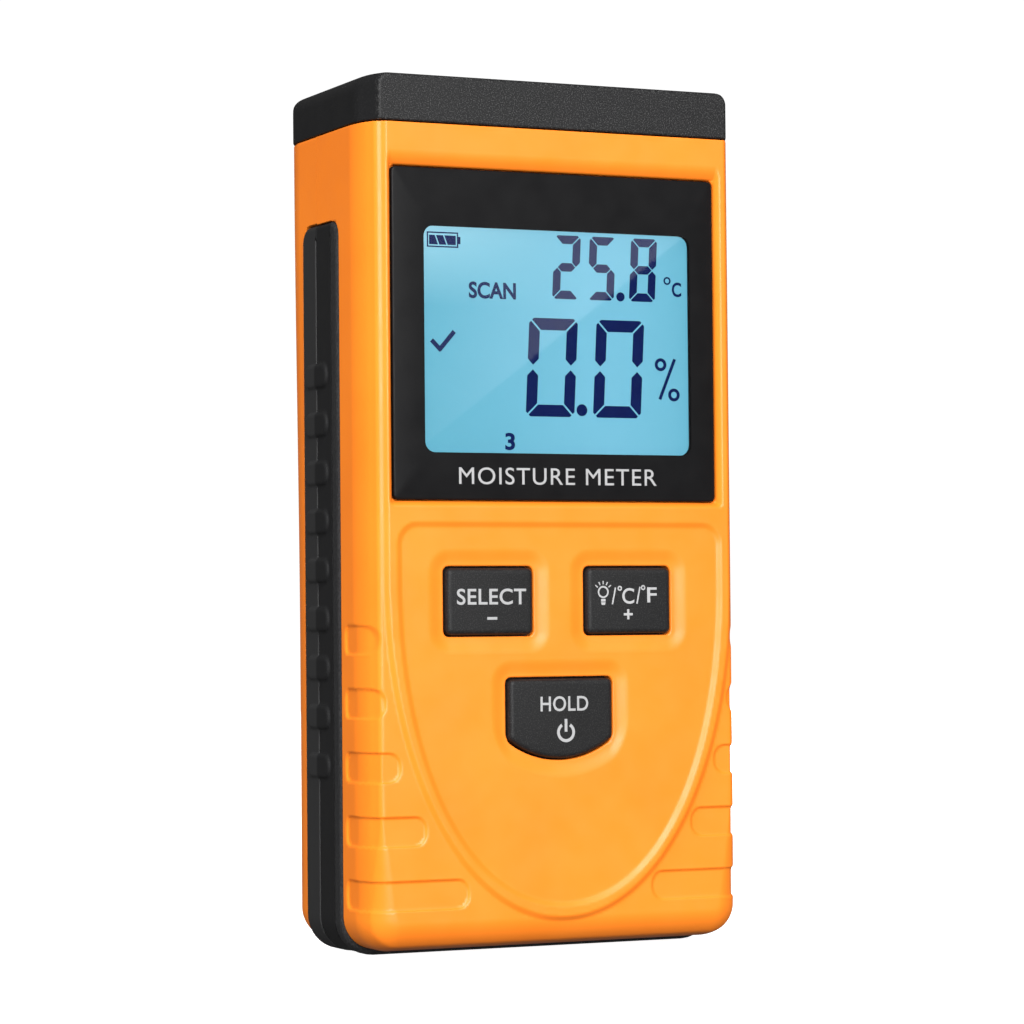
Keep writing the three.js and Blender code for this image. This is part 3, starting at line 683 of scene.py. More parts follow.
def plain_finishes():
    """A finish for each slot of the record."""
    every = [
        orange_plastic(), black_plastic(), grip_rubber(), clear_lens(), printed_mask(),
        moulded("white_plastic", (0.8, 0.8, 0.77), (0.74, 0.74, 0.7), 0.45, 0.3, 0.008),
        moulded("conductive_rubber", (0.03, 0.03, 0.03), (0.02, 0.02, 0.02), 0.7, 0.2, 0.01),
        moulded("board_laminate", (0.02, 0.16, 0.05), (0.015, 0.13, 0.04), 0.35, 0.5, 0.006, patch=6),
        moulded("component_epoxy", (0.018, 0.018, 0.019), (0.014, 0.014, 0.015), 0.55, 0.15, 0.006),
        moulded("battery_wrap", (0.055, 0.06, 0.07), (0.045, 0.05, 0.06), 0.32, 0.8, 0.004, Metallic=0.3),
        moulded("foam", (0.05, 0.05, 0.055), (0.035, 0.035, 0.04), 0.95, 0.5, 0.12),
        moulded("red_vinyl", (0.45, 0.03, 0.02), (0.38, 0.025, 0.018), 0.45, 0.4, 0.004),
        moulded("black_vinyl", (0.022, 0.022, 0.022), (0.017, 0.017, 0.017), 0.45, 0.4, 0.004),
        metal("steel", (0.6, 0.61, 0.63), (0.5, 0.51, 0.53), 0.3),
        metal("brass", (0.78, 0.53, 0.22), (0.68, 0.44, 0.17), 0.32)]
    finishes = {made.slot: made.material for made in every}
    finishes["display_glass"] = lit_display().material
    return finishes


def dress(thing, slot, body=CASE, replaced=(), finish=None):
    """Gives a piece its body and its finish, which is the slot's own unless another is given, and hides the
    CAD nodes that it replaces.
    """
    thing.data.materials.clear()
    thing.data.materials.append(finish or FINISHES[slot])
    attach(thing, body)
    if replaced:
        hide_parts(*replaced)
    return thing


# ---- front shell

OUTER_FILLET = 0.3  # the soft edges round openings
INNER_FILLET = 0.05  # the edges at the bottom of openings
LENS_GAP = 0.2
LENS_RADIUS = 0.9
LENS_SLOPE = 1.1  # how far the face sinks round the lens
SLOPE_BESIDE, SLOPE_ABOVE, SLOPE_BELOW = 1.1, 2.6, 1.0  # and the width that it takes on each side
KEY_DISH = 0.5  # how far the face sinks round the keys
DISH_REACH, DISH_SLOPE = 3.0, 2.7  # how far out that starts, and the width that it takes
WINDOW = (-24.0, 25.2, 82.8, 120.1)  # left, right, low and high
WINDOW_RADIUS = 1.8
WINDOW_LEDGE = 1.3
INSIDE_Y = FRONT_Y + 4.4  # openings in the front wall reach back to here
GROOVE_HEIGHT, GROOVE_PITCH, LOWEST_GROOVE_Z = 4.8, 10.42, 10.45
GROOVE_DEPTH = 0.33
GROOVE_REAR_Y = -7.5
GROOVE_INNER_ENDS = (17.0, 24.5, 29.0, 31.6, 32.5)

WALL = 4.4  # from the side of the case to the hollow in it
OVERRUN = 1.5  # each shell is sculpted this far past the seam, and cut there
CLEAR = 5  # tools that cut reach this far past what they cut
FAR = 1e3  # a distance from nothing


def lens_slope(x, z):
    """How far the face has sunk towards the lens, 0 to 1: a long curve from above, short ones elsewhere."""
    beside = np.maximum(np.abs(x) - LENS_HIGH[0] - LENS_GAP, 0) / SLOPE_BESIDE
    above = np.maximum(z - LENS_HIGH[2] - LENS_GAP, 0) / SLOPE_ABOVE
    below = np.maximum(LENS_LOW[2] - LENS_GAP - z, 0) / SLOPE_BELOW
    return np.clip(1 - np.hypot(beside, np.maximum(above, below)), 0, 1) ** 2


def face_height(x, z):
    """Y of the front face: shield rim, sunken key panel, and the slopes down to the keys and the lens."""
    rim = shield(x - SHIELD_SHIFT, z, *SHIELD_RIM)
    panel = both(shield(x - SHIELD_SHIFT, z, *SHIELD_PANEL), z - PANEL_TOP_Z, PANEL_TOP_RADIUS)
    y = FRONT_Y + (FACE_Y - FRONT_Y) * ease((rim + 1.0) / RIM_SLOPE)
    y = y + (PANEL_Y - FRONT_Y) * ease(0.7 - panel / RIM_SLOPE)
    dish = 0
    for name in KEYS:
        outside = key_shape(x, z, name, KEY_GAP)
        dish = np.maximum(dish, ease((DISH_REACH - outside) / DISH_SLOPE))
    return y + KEY_DISH * dish + LENS_SLOPE * lens_slope(x, z)


def groove_shape(x, y, z, base):
    """The five finger grooves on each side, a fixed depth under the base surface."""
    grooves, beyond = FAR, 12
    for level, inner in enumerate(GROOVE_INNER_ENDS):
        middle = LOWEST_GROOVE_Z + level * GROOVE_PITCH
        low, high = middle - GROOVE_HEIGHT / 2, middle + GROOVE_HEIGHT / 2
        radius = min(GROOVE_HEIGHT / 2 - 0.2, (HALF_WIDTH + 3 - inner) * 0.6)
        across = rectangle(np.abs(x), z, inner, HALF_WIDTH + beyond, low, high, radius)
        along = rectangle(y, z, FRONT_Y - beyond, GROOVE_REAR_Y, low, high, 1.5)
        grooves = np.minimum(grooves, both(across, along, 0.3))
    return both(grooves, -(base + GROOVE_DEPTH), 0.3)


def front_skin(x, y, z):
    """The front shell's outside, before the grooves and openings. Its front edge is softer lower down."""
    outline = case_outline(x, z)
    edge = FRONT_EDGE + (LOWEST_EDGE - FRONT_EDGE) * ease((26 - z) / 24)
    corner = chamfer(outline, FRONT_Y + CHAMFER_ALONG - y)
    side = both(outline, corner, SIDE_BLEND)
    return both(side, face_height(x, z) - y, edge)


def front_shape(x, y, z):
    base = front_skin(x, y, z)
    shell = cut(base, groove_shape(x, y, z, base), 0.5)
    pocket = rectangle(x, z, *front_view(LENS_LOW, LENS_HIGH, LENS_GAP), LENS_RADIUS)
    shell = cut(shell, both(pocket, y - (LENS_HIGH[1] + 0.3), INNER_FILLET), OUTER_FILLET)
    view = rectangle(x, z, *grown(WINDOW, WINDOW_LEDGE), WINDOW_RADIUS)
    shell = cut(shell, both(view, y - INSIDE_Y, INNER_FILLET), 0.1)
    for name in KEYS:
        hole = both(key_shape(x, z, name, KEY_GAP), y - INSIDE_Y, INNER_FILLET)
        shell = cut(shell, hole, OUTER_FILLET)
    shell = both(shell, z - TOP_Z, 0.15)
    return cut(shell, band_channel(x, y, z), 0.12)


def shell_half(name, shape, stops, side, seam, hollow):
    """Half the case, ahead of the seam (side 1) or behind it (side -1), cut at the seam and hollowed."""
    def overrun(x, y, z):
        return both(shape(x, y, z), side * (y - SEAM_Y) - OVERRUN, 0.03)

    shell = sculpt(name, overrun, stops)
    reach = HALF_WIDTH + CLEAR
    near, far = sorted((seam, SEAM_Y + side * CLEAR))
    carve(shell, block("waste", (-reach, near, -CLEAR), (reach, far, TOP_Z + CLEAR)))
    core = HALF_WIDTH - WALL
    outline = plate_outline(-core, core, BOTTOM_Z + 3.4, TOP_Z - 2, 6, 1)
    carve(shell, loft("hollow", outline, [(0, y) for y in hollow]))
    return shell


def front_shell():
    stops = (
        [(-HALF_WIDTH - 1, 0.38), (HALF_WIDTH + 1, 0)],
        [(FRONT_Y - 0.5, 0.3), (-15, 0.45), (-4.6, 1.4), (SEAM_Y + 2.8, 0)],
        [(BOTTOM_Z - 1, 0.4), (29, 0.35), (78, 1.5), (117, 0.38), (TOP_Z + 1, 0)])
    shell = shell_half("front_shell_skin", front_shape, stops, 1, SEAM_Y, (FRONT_Y + 3, SEAM_Y + CLEAR))
    return restore_normals(shell, front_shape)


# ---- rear shell

CASE_SCREWS = [f"case_screw_{i}" for i in (1, 2, 3, 4)]
CASE_SCREW_PLACES = [centre(name) for name in CASE_SCREWS]
CAP_SCREW_PLACES = [centre(name) for name in ("cap_screw_1", "cap_screw_2")]
BOSS_RADIUS, HEAD_HOLE_RADIUS, SHANK_HOLE_RADIUS = 3.9, 2.7, 1.5
SCREW_SEAT_Y = 7.0
INNER_Y = REAR_Y - 2.0  # the inside of the rear wall
SEAM_GAP = 0.03
PAD_GAP = 0.3
PAD_RADIUS = 3
REAR_FILLET = 0.35
DOORWAY = (DOOR_LOW[0] - KEY_GAP, DOOR_HIGH[0] + KEY_GAP, 6.0, DOOR_HIGH[2] + KEY_GAP)
DOORWAY_RADIUS = 1.4
BAY_LOW, BAY_HIGH = (-14.0, -5.0, 8.5), (14.0, REAR_Y + 1, 64.0)  # the battery's room
BAY_WALL = 1.2
HOOK_X = (-10, 10)


def rear_chamfer_along(z):
    """The rear chamfer is cut less deep towards the top."""
    return CHAMFER_ALONG - 1.3 * ease((z - 50) / 85)


def rear_skin(x, y, z):
    outline = case_outline(x, z)
    corner = chamfer(outline, y - PAD_HIGH[1] + rear_chamfer_along(z))
    return both(both(outline, corner, SIDE_BLEND), y - REAR_Y, 1.2)


def rear_shape(x, y, z):
    shell = rear_skin(x, y, z)
    pocket = rectangle(x, z, *front_view(PAD_LOW, PAD_HIGH, PAD_GAP), PAD_RADIUS + PAD_GAP)
    shell = cut(shell, both(pocket, PAD_LOW[1] - 0.1 - y, INNER_FILLET), REAR_FILLET)
    doorway = rectangle(x, z, *DOORWAY, DOORWAY_RADIUS)
    shell = cut(shell, both(doorway, INNER_Y - y, INNER_FILLET), REAR_FILLET)
    for screw_x, _, screw_z in CASE_SCREW_PLACES:
        hole = np.hypot(x - screw_x, z - screw_z) - HEAD_HOLE_RADIUS
        shell = cut(shell, both(hole, SCREW_SEAT_Y - y, INNER_FILLET), 0.4)
    shell = both(shell, z - TOP_Z, 0.15)
    return cut(shell, band_channel(x, y, z), 0.12)


def add_battery_bay(shell):
    """The battery's walled room, open behind, the doorway's rim, and pockets for the door's hooks."""
    wall_low = [place - BAY_WALL for place in BAY_LOW]
    wall_high = (BAY_HIGH[0] + BAY_WALL, INNER_Y + 0.2, BAY_HIGH[2] + BAY_WALL)
    weld(shell, block("tub", wall_low, wall_high))
    left, right, low, high = DOORWAY
    rim = block("rim", (left - 1.5, INNER_Y - 1.4, low - 1.3), (right + 1.5, INNER_Y + 0.2, high + 1.3))
    weld(shell, rim)
    doorway = plate_outline(*DOORWAY, DOORWAY_RADIUS)
    carve(shell, loft("doorway", doorway, [(0, INNER_Y), (0, INNER_Y + 1)]))
    carve(shell, block("bay", BAY_LOW, BAY_HIGH))
    lead_way = block("lead_way", (-6, BAY_LOW[1], BAY_HIGH[2] - 1), (6, -1.5, BAY_HIGH[2] + 2 * BAY_WALL))
    carve(shell, lead_way)
    for x in HOOK_X:
        pocket = block("hook_pocket", (x - 3.6, INNER_Y - 3, 4.2), (x + 3.6, INNER_Y + 0.01, 11))
        carve(shell, pocket)


def rear_shell():
    stops = (
        [(-HALF_WIDTH - 1, 0.45), (HALF_WIDTH + 1, 0)],
        [(SEAM_Y - 3, 1.2), (9, 0.45), (11, 1.0), (15, 0.35), (REAR_Y + 0.5, 0)],
        [(BOTTOM_Z - 1, 0.45), (17, 0.9), (64, 0.45), (68, 0.9), (84, 0.45), (88, 0.9), (126, 0.45),
         (TOP_Z + 1, 0)])
    shell = shell_half("rear_shell_skin", rear_shape, stops, -1, SEAM_Y + SEAM_GAP, (-8, INNER_Y))
    add_battery_bay(shell)
    for x, _, z in CASE_SCREW_PLACES:
        weld(shell, rod("boss", x, z, BOSS_RADIUS, SEAM_Y + 0.1, INNER_Y + 0.3))
        carve(shell, rod("head_hole", x, z, HEAD_HOLE_RADIUS, SCREW_SEAT_Y, INNER_Y + 1))
        carve(shell, rod("shank_hole", x, z, SHANK_HOLE_RADIUS, SEAM_Y - 1, SCREW_SEAT_Y + 1))
    for x, y, _ in CAP_SCREW_PLACES:
        carve(shell, rod("cap_screw_hole", x, y, 1.4, TOP_Z + 1, TOP_Z - 4, upright=True))
    return restore_normals(shell, rear_shape)


# ---- top cover

def cap_shape(x, y, z):
    """An octagon from above. Its upright edges are crisp, and its top edge is softest at the sides."""
    top = z - CAP_HIGH[2]
    side = both(np.abs(x) - HALF_WIDTH, top, 3.0)
    ahead = both(np.abs(y) - CAP_HIGH[1], top, 1.0)
    along = np.where(y > 0, rear_chamfer_along(z), CHAMFER_ALONG)
    corner = both(chamfer(np.abs(x) - HALF_WIDTH, np.abs(y) - CAP_HIGH[1] + along), top, 2.2)
    cover = both(both(side, corner, 0.45), ahead, 0.3)
    return both(cover, CAP_LOW[2] - z, 0.15)


def top_cap():
    stops = (
        [(-HALF_WIDTH - 1, 0.35), (-28, 1.0), (28, 0.35), (HALF_WIDTH + 1, 0)],
        [(CAP_LOW[1] - 0.7, 0.3), (-12, 1.0), (12, 0.3), (CAP_HIGH[1] + 0.7, 0)],
        [(CAP_LOW[2] - 0.7, 0.3), (CAP_HIGH[2] + 0.7, 0)])
    cap = sculpt("top_cap_skin", cap_shape, stops)
    side, top = 3, 2.2  # thickness of the walls
    hollow = block("hollow", (side - HALF_WIDTH, CAP_LOW[1] + side, CAP_LOW[2] - 1),
                   (HALF_WIDTH - side, CAP_HIGH[1] - side, CAP_HIGH[2] - top))
    carve(cap, hollow)
    for x, y, _ in CAP_SCREW_PLACES:
        weld(cap, rod("boss", x, y, 2.8, CAP_HIGH[2] - 1, CAP_LOW[2], upright=True))
        hole = rod("hole", x, y, 1.05, CAP_LOW[2] + 5, CAP_LOW[2] - 1, upright=True)
        carve(cap, hole)
    return restore_normals(cap, cap_shape)


# ---- rubber band

RIBS = 9
LOWEST_RIB_Z, RIB_PITCH, RIB_HEIGHT = 31.15, 8.15, 4.1
RIB_FRONT_Y, RIB_REAR_Y = -1.2, 8.6
LIP_Y = -2.6


def band_shape(x, y, z):
    """A U-shaped strip with a fine groove at the seam, a lip along its front edge and pill-shaped ribs."""
    outline = both(np.abs(x) - BAND_HALF, BAND_LOW[2] - z, BAND_RADIUS)
    crease = np.maximum(np.abs(y - SEAM_Y) - 0.1, -(outline + 0.35))
    lip = np.maximum(np.abs(y - LIP_Y) - 0.2, -(outline + 0.6))
    recess = 0.12 * ease((SEAM_Y - y) / 0.3) * ease((y - LIP_Y) / 0.3)
    outside = cut(outline + recess, np.maximum(np.minimum(lip, crease), z - BAND_HIGH[2] + 2.3), 0.12)
    strip = both(outside, band_side_view(y, z), 0.8)
    row = np.clip(np.round((z - LOWEST_RIB_Z) / RIB_PITCH), 0, RIBS - 1)
    middle = LOWEST_RIB_Z + row * RIB_PITCH
    pill = rectangle(y, z - middle, RIB_FRONT_Y, RIB_REAR_Y, -RIB_HEIGHT / 2, RIB_HEIGHT / 2, 1.9)
    strip = either(strip, both(pill, outline - BAND_RIB_RISE, 0.65), 0.25)
    return both(strip, -(outline + BAND_THICKNESS), 0.1)


def grip_band():
    edge = BAND_HIGH[0]
    stops = (
        [(-edge - 0.6, 0.25), (-31.5, 1.0), (-25, 1.6), (25, 1.0), (31.5, 0.25), (edge + 0.6, 0)],
        [(BAND_LOW[1] - 0.5, 0.3), (BAND_HIGH[1] + 0.6, 0)],
        [(-0.6, 0.3), (3, 0.45), (BAND_HIGH[2] + 0.7, 0)])
    return sculpt("grip_band_skin", band_shape, stops)


# ---- keys

FLANGE_THICKNESS = 1.0
STEM_RADIUS = 1.8
STEM_REACH = 1.5  # from the front of the flange to the end of the stem


def key_cap(name):
    """A key: a cap with a soft bevel round a flat face, the flange that keeps it in, and its stem."""
    left, right, low, high = key_box(name)
    node_low, node_high = corners(name)
    flange_y = node_high[1] - STEM_REACH
    outline = plate_outline(left, right, low, high, KEY_RADIUS)
    if name == "hold_key":
        outline = hold_outline()
    face = KEY_FACE_Y
    bevel = [(0.9, face), (0.62, face + 0.02), (0.38, face + 0.11), (0.14, face + 0.3), (0, face + 0.62)]
    key = loft(f"{name}_cap", outline, bevel + [(0, flange_y + 0.5)])
    flange = plate_outline(*front_view(node_low, node_high), KEY_RADIUS)
    weld(key, loft("flange", flange, [(0, flange_y), (0, flange_y + FLANGE_THICKNESS)]))
    stem_z = centre(name.replace("_key", "_switch_body"))[2]
    weld(key, rod("stem", (left + right) / 2, stem_z, STEM_RADIUS, flange_y + 0.5, node_high[1]))
    return smooth(key)


# ---- lens

def lens_plate():
    """The lens: clear over the display, printed black all round it."""
    outer = plate_outline(*front_view(LENS_LOW, LENS_HIGH), LENS_RADIUS)
    window = plate_outline(*WINDOW, WINDOW_RADIUS)
    front, rear = LENS_LOW[1], LENS_HIGH[1]
    bevel = [(0.36, front), (0.2, front + 0.03), (0.06, front + 0.12), (0, front + 0.3), (0, rear)]
    rings = [ring_of(window, 0, front)] + [ring_of(outer, inset, y) for inset, y in bevel]
    lens = smooth(skin("lens_plate", rings + [ring_of(window, 0, rear)]), 30)
    dress(lens, "clear_lens", replaced=["display_lens"])
    lens.data.materials.append(FINISHES["printed_mask"])
    for face in lens.data.polygons:
        is_window = len(face.vertices) > 4
        face.material_index = 0 if is_window else 1
    return lens


# ---- display content

DISPLAY_OFFSET = 0.75  # the display's middle, right of the case's
MARK_DEPTH = 0.02  # half of a mark's thickness
MARK_PROUD = 0.03  # from the glass to the middle of the marks
SLANT = 0.052  # how far a digit leans for each millimetre of its height
LARGE = {"width": 9.0, "height": 16.5, "thick": 2.0, "gap": 0.3}
SMALL = {"width": 4.9, "height": 10.7, "thick": 1.42, "gap": 0.2}
DIGIT_BARS = {"0": "abcdef", "2": "abdeg", "5": "acdfg", "8": "abcdefg"}


def digit(shape, x, z, width, height, thick, gap):
    """The bars of a seven-bar digit, mitred, as outlines. x and z are its lower left corner."""
    def lower(bar):
        return [(a, height - b) for a, b in bar]

    middle, half, corner, apart = height / 2, thick / 2, thick * 0.42, gap / 2.8
    point = gap * (0.6 if "g" in DIGIT_BARS[shape] else 1.3)
    inside, under = thick + 2 * apart, height - thick
    top = [
        (corner / 2 + apart, height - corner / 2 + apart), (corner, height), (width - corner, height),
        (width - corner / 2 - apart, height - corner / 2 + apart), (width - inside, under), (inside, under)]
    left = [
        (corner / 2 - apart, height - corner / 2 - apart), (0, height - corner), (0, middle + half + point),
        (half, middle + point), (thick, middle + half + point), (thick, under - 2 * apart)]
    right = [(width - a, b) for a, b in left]
    tip, inner = half + point, thick + point
    across = [
        (tip, middle), (inner, middle + half), (width - inner, middle + half), (width - tip, middle),
        (width - inner, middle - half), (inner, middle - half)]
    bars = {
        "a": top, "b": right, "c": lower(right), "d": lower(top), "e": lower(left), "f": left, "g": across}
    return [[(x + a + SLANT * b, z + b) for a, b in bars[letter]] for letter in DIGIT_BARS[shape]]


def battery_sign():
    """A battery's outline with three leaning bars in it."""
    sides, line, knob = (-23.3, -17.65, 116.75, 119.3), 0.22, (-17.64, -17.25, 117.4, 118.6)
    shapes = [box_outline(*sides), box_outline(*grown(sides, -line)), box_outline(*knob)]
    low, high, lean = 117.2, 118.75, 0.6
    for left, right, left_lean, right_lean in (
            (-22.9, -21.3, 0, lean), (-21.05, -19.8, lean, lean), (-19.55, -18.1, lean, 0)):
        shapes.append([(left, low), (right, low), (right - right_lean, high), (left - left_lean, high)])
    return shapes


def display_marks(finish):
    """What the display shows. It is drawn about its own middle, which is off the case's."""
    shapes = [circle(4.85, 90.3, 1.0), circle(12.3, 109.6, 0.78)]
    for x in (-5.6, 6.9):
        shapes += digit("0", x, 89.1, **LARGE)
    for shape, x in (("2", -0.5), ("5", 6.1), ("8", 13.9)):
        shapes += digit(shape, x, 108.9, **SMALL)
    degree, per_cent = ring(21.2, 112.6, 0.68, 0.4), ring(19.8, 98.3, 1.1, 0.55) + ring(22.3, 93.2, 1.1, 0.55)
    slabs = [cut_outlines(shapes + degree + per_cent + battery_sign(), MARK_DEPTH)]
    per_cent_bar = ((19.6, 92.4), (22.5, 99.3), 0.55)
    tick = ((-22.6, 101.4), (-20.9, 99.7), 0.75), ((-21.25, 99.75), (-18.5, 102.9), 0.75)
    slabs += [cut_outlines([stroke(*line)], MARK_DEPTH) for line in (per_cent_bar, *tick)]
    slabs.append(cut_words("SCAN", -15.8, -7.2, 108.5, 111.3, MARK_DEPTH, 0.08))
    slabs.append(cut_words("3", -9.4, -7.6, 83.4, 86.3, MARK_DEPTH, 0.09))
    slabs.append(cut_words("C", 22.1, 23.9, 109.9, 112.4, MARK_DEPTH, 0.06))
    for points, _ in slabs:
        points[:, 0] += DISPLAY_OFFSET
    return marking("display_marks", slabs, GLASS_FACE_Y - MARK_PROUD, CASE, "display_glass", finish)


# ---- legends

PRINT_DEPTH = 0.01  # half of the print's thickness
PRINT_PROUD = 0.012  # from a face to the middle of the print on it


def legend(key, slabs, finish):
    """The print on a key, which rides with it."""
    marking(f"{key}_legend", slabs, KEY_FACE_Y - PRINT_PROUD, f"{key}_button", "printed_mask", finish)


def arc_stroke(x, z, outer, inner, start, end):
    return arc(x, z, outer, start, end, 36) + arc(x, z, inner, end, start, 36)


def cross(x, z, half, width):
    """A plus sign as one outline."""
    near, far = width / 2, half
    quarter = [(far, near), (near, near), (near, far)]
    points = []
    for _ in range(4):
        points += [(x + a, z + b) for a, b in quarter]
        quarter = [(-b, a) for a, b in quarter]
    return points


def bulb_outlines():
    """A lamp with rays, the sign for the display's light."""
    x, z = 7.95, 59.75
    neck, foot = 0.42, 0.3
    shapes = ring(x, z, 1.02, 0.74)
    shapes.append(box_outline(x - neck, x + neck, z - 1.6, z - 1.15))
    shapes.append([(x - foot, z - 2.15), (x + foot, z - 2.15), (x + neck, z - 1.72), (x - neck, z - 1.72)])
    for degrees in (38, 64, 90, 116, 142):
        a = math.radians(degrees)
        start, end = [(x + reach * math.cos(a), z + reach * math.sin(a)) for reach in (1.28, 1.85)]
        shapes.append(stroke(start, end, 0.2))
    return shapes


def legends(finish):
    """The generic words and signs on the keys and the lens."""
    minus = cut_outlines([stroke((-13.4, 55.5), (-11.6, 55.5), 0.45)], PRINT_DEPTH)
    select = cut_words("SELECT", -18.85, -6.3, 57.75, 60.4, PRINT_DEPTH, 0.035, 1.06)
    legend("select", [select, minus], finish)
    slashes = [stroke((9.65, 57.7), (10.25, 60.5), 0.26), stroke((14.25, 57.75), (14.85, 60.6), 0.26)]
    degrees = ring(11.05, 60.35, 0.42, 0.2) + ring(15.45, 60.45, 0.42, 0.2)
    legend("unit", [
        cut_outlines(bulb_outlines() + slashes + [cross(12.6, 56.0, 0.85, 0.4)] + degrees, PRINT_DEPTH),
        cut_words("C", 11.5, 13.75, 57.75, 60.4, PRINT_DEPTH, 0.03),
        cut_words("F", 16.2, 18.0, 57.95, 60.5, PRINT_DEPTH, 0.03)], finish)
    power = [arc_stroke(0.8, 36.5, 1.65, 1.15, 122, 418), stroke((0.8, 36.6), (0.8, 38.7), 0.5)]
    legend("hold", [
        cut_words("HOLD", -3.85, 4.95, 40.0, 42.5, PRINT_DEPTH, 0.03, 1.06),
        cut_outlines(power, PRINT_DEPTH)], finish)
    title = cut_words("MOISTURE METER", -18.0, 18.5, 77.6, 80.4, PRINT_DEPTH, 0.0, 1.1)
    marking("lens_legend", [title], LENS_LOW[1] - PRINT_PROUD, CASE, "printed_mask", finish)


# ---- rear details

def pad_plate():
    """The sensing pad: a flat plate with a soft edge."""
    outline = plate_outline(*front_view(PAD_LOW, PAD_HIGH), PAD_RADIUS, steps=12)
    rear, front = PAD_HIGH[1], PAD_LOW[1]
    edge = [(0, front), (0, rear - 0.9), (0.1, rear - 0.5), (0.35, rear - 0.17), (0.8, rear)]
    return smooth(loft("sensor_pad_plate", outline, edge), 30)


DOOR_FOOT_Z = 6.3
DOOR_INNER_Y = DOOR_HIGH[1] - 1.9


def door_shape(x, y, z):
    """The battery door: a plate with a latch tongue freed by slots, and grooves to push it by."""
    high, rear = DOOR_HIGH[2], DOOR_HIGH[1]
    plate = rectangle(x, z, DOOR_LOW[0], DOOR_HIGH[0], DOOR_FOOT_Z, high, 1.2)
    door = both(both(plate, y - rear, REAR_FILLET), DOOR_INNER_Y - y, 0.1)
    for down in (2.2, 4.2, 6.2):
        groove = rectangle(x, z, -4.6, 4.6, high - down - 0.45, high - down + 0.45, 0.4)
        door = cut(door, both(groove, rear - 0.55 - y, 0.1), 0.2)
    slot = np.maximum(np.abs(np.abs(x) - 6) - 0.4, high - 9 - z)
    return cut(door, slot, 0.12)


def battery_door():
    stops = (
        [(DOOR_LOW[0] - 0.7, 0.4), (DOOR_HIGH[0] + 0.7, 0)],
        [(DOOR_HIGH[1] - 2.6, 0.3), (DOOR_HIGH[1] + 0.6, 0)],
        [(5.6, 0.4), (8, 1.0), (55, 0.3), (DOOR_HIGH[2] + 0.7, 0)])
    door = sculpt("battery_door_skin", door_shape, stops)
    inner, half, top_z = DOOR_INNER_Y, 3, 9.3
    for x in HOOK_X:
        weld(door, block("hook", (x - half, inner - 2, 4.8), (x + half, inner - 0.4, top_z)))
        weld(door, block("bridge", (x - half, inner - 0.8, 6.4), (x + half, inner + 0.5, top_z)))
    return restore_normals(door, door_shape)


def case_screw(name):
    """A pan-head screw with a cross recess. Its shank is the profile's larger inset."""
    (_, tip, _), (_, top, _) = corners(name)
    x, _, z = centre(name)
    seat, shank = top - 1.7, 1.35
    profile = [(1.9, tip), (shank, tip + 1), (shank, seat), (0, seat), (0, top - 0.8), (0.12, top - 0.4),
               (0.42, top - 0.12), (0.9, top)]
    screw = loft(f"{name}_head", circle(x, z, 2.4, 48), profile)
    for across, up in ((1.35, 0.26), (0.26, 1.35)):
        recess = block("recess", (x - across, top - 0.9, z - up), (x + across, top + 1, z + up))
        carve(screw, recess)
    return smooth(screw, 35)


def battery_body():
    """A 9 V battery: a plain jacket with rolled edges at both ends."""
    low, high = corners("battery_case")
    outline = plate_outline(low[0], high[0], low[1], high[1], 2)
    rolled = [(1.6, 0.5), (0.9, 0.5), (0.75, 0.1), (0.45, 0), (0.15, 0.15), (0, 0.5)]  # inset and depth
    top = [(inset, high[2] - depth) for inset, depth in rolled]
    bottom = [(inset, low[2] + depth) for inset, depth in reversed(rolled)]
    return smooth(loft("battery_jacket", outline, top + bottom, upright=True), 50)


# ---- camera and stage

def camera():
    """A camera at the photograph's viewing angle, tilted very slightly."""
    eye = Vector((-250.0, -534.3, 54.7))
    target = Vector((-0.14, -2, 72.7))
    roll = math.radians(-0.52)
    ahead = (target - eye).normalized()
    level_right = ahead.cross(Vector((0, 0, 1))).normalized()
    level_up = level_right.cross(ahead)
    right = math.cos(roll) * level_right + math.sin(roll) * level_up
    up = right.cross(ahead)
    lens = bpy.data.cameras.new("camera")
    lens.lens = 121.35
    lens.sensor_width = 36
    lens.shift_x = -0.0064
    lens.shift_y = 0.0052
    lens.clip_start = 0.05
    lens.clip_end = 50
    holder = linked("camera", lens)
    turn = Matrix((right, up, -ahead)).transposed()
    holder.matrix_world = Matrix.Translation(eye * MM) @ turn.to_4x4()
    bpy.context.scene.camera = holder


def softbox(name, place, aim, size, power, mirrored=True):
    """A rectangular lamp, with its place and size in metres."""
    lamp = bpy.data.lights.new(name, "AREA")
    lamp.shape = "RECTANGLE"
    lamp.size, lamp.size_y = size
    lamp.energy = power
    holder = linked(name, lamp)
    holder.location = place
    holder.rotation_euler = (Vector(aim) - Vector(place)).to_track_quat("-Z", "Y").to_euler()
    holder.visible_glossy = mirrored


def floor():
    half, height = 6000, -0.03
    outline = box_outline(-half, half, -half, half)
    plane = mesh_object("floor", [(x, y, height) for x, y in outline], [(0, 1, 2, 3)])
    made = Finish(
        "floor", Roughness=0.8, Specular_IOR_Level=0.1, Emission_Color=(1, 1, 1, 1), Emission_Strength=0.95)
    made.drive("Base Color", made.blend(made.noise(300, 2), (0.86, 0.86, 0.86), (0.88, 0.88, 0.88)))
    plane.data.materials.append(made.material)
    plane.visible_diffuse = False
    plane.visible_glossy = False


ROOM_LIGHT = 0.107  # what the room sheds on the meter
BACKDROP_LIGHT = 1.05  # how bright it looks behind the meter


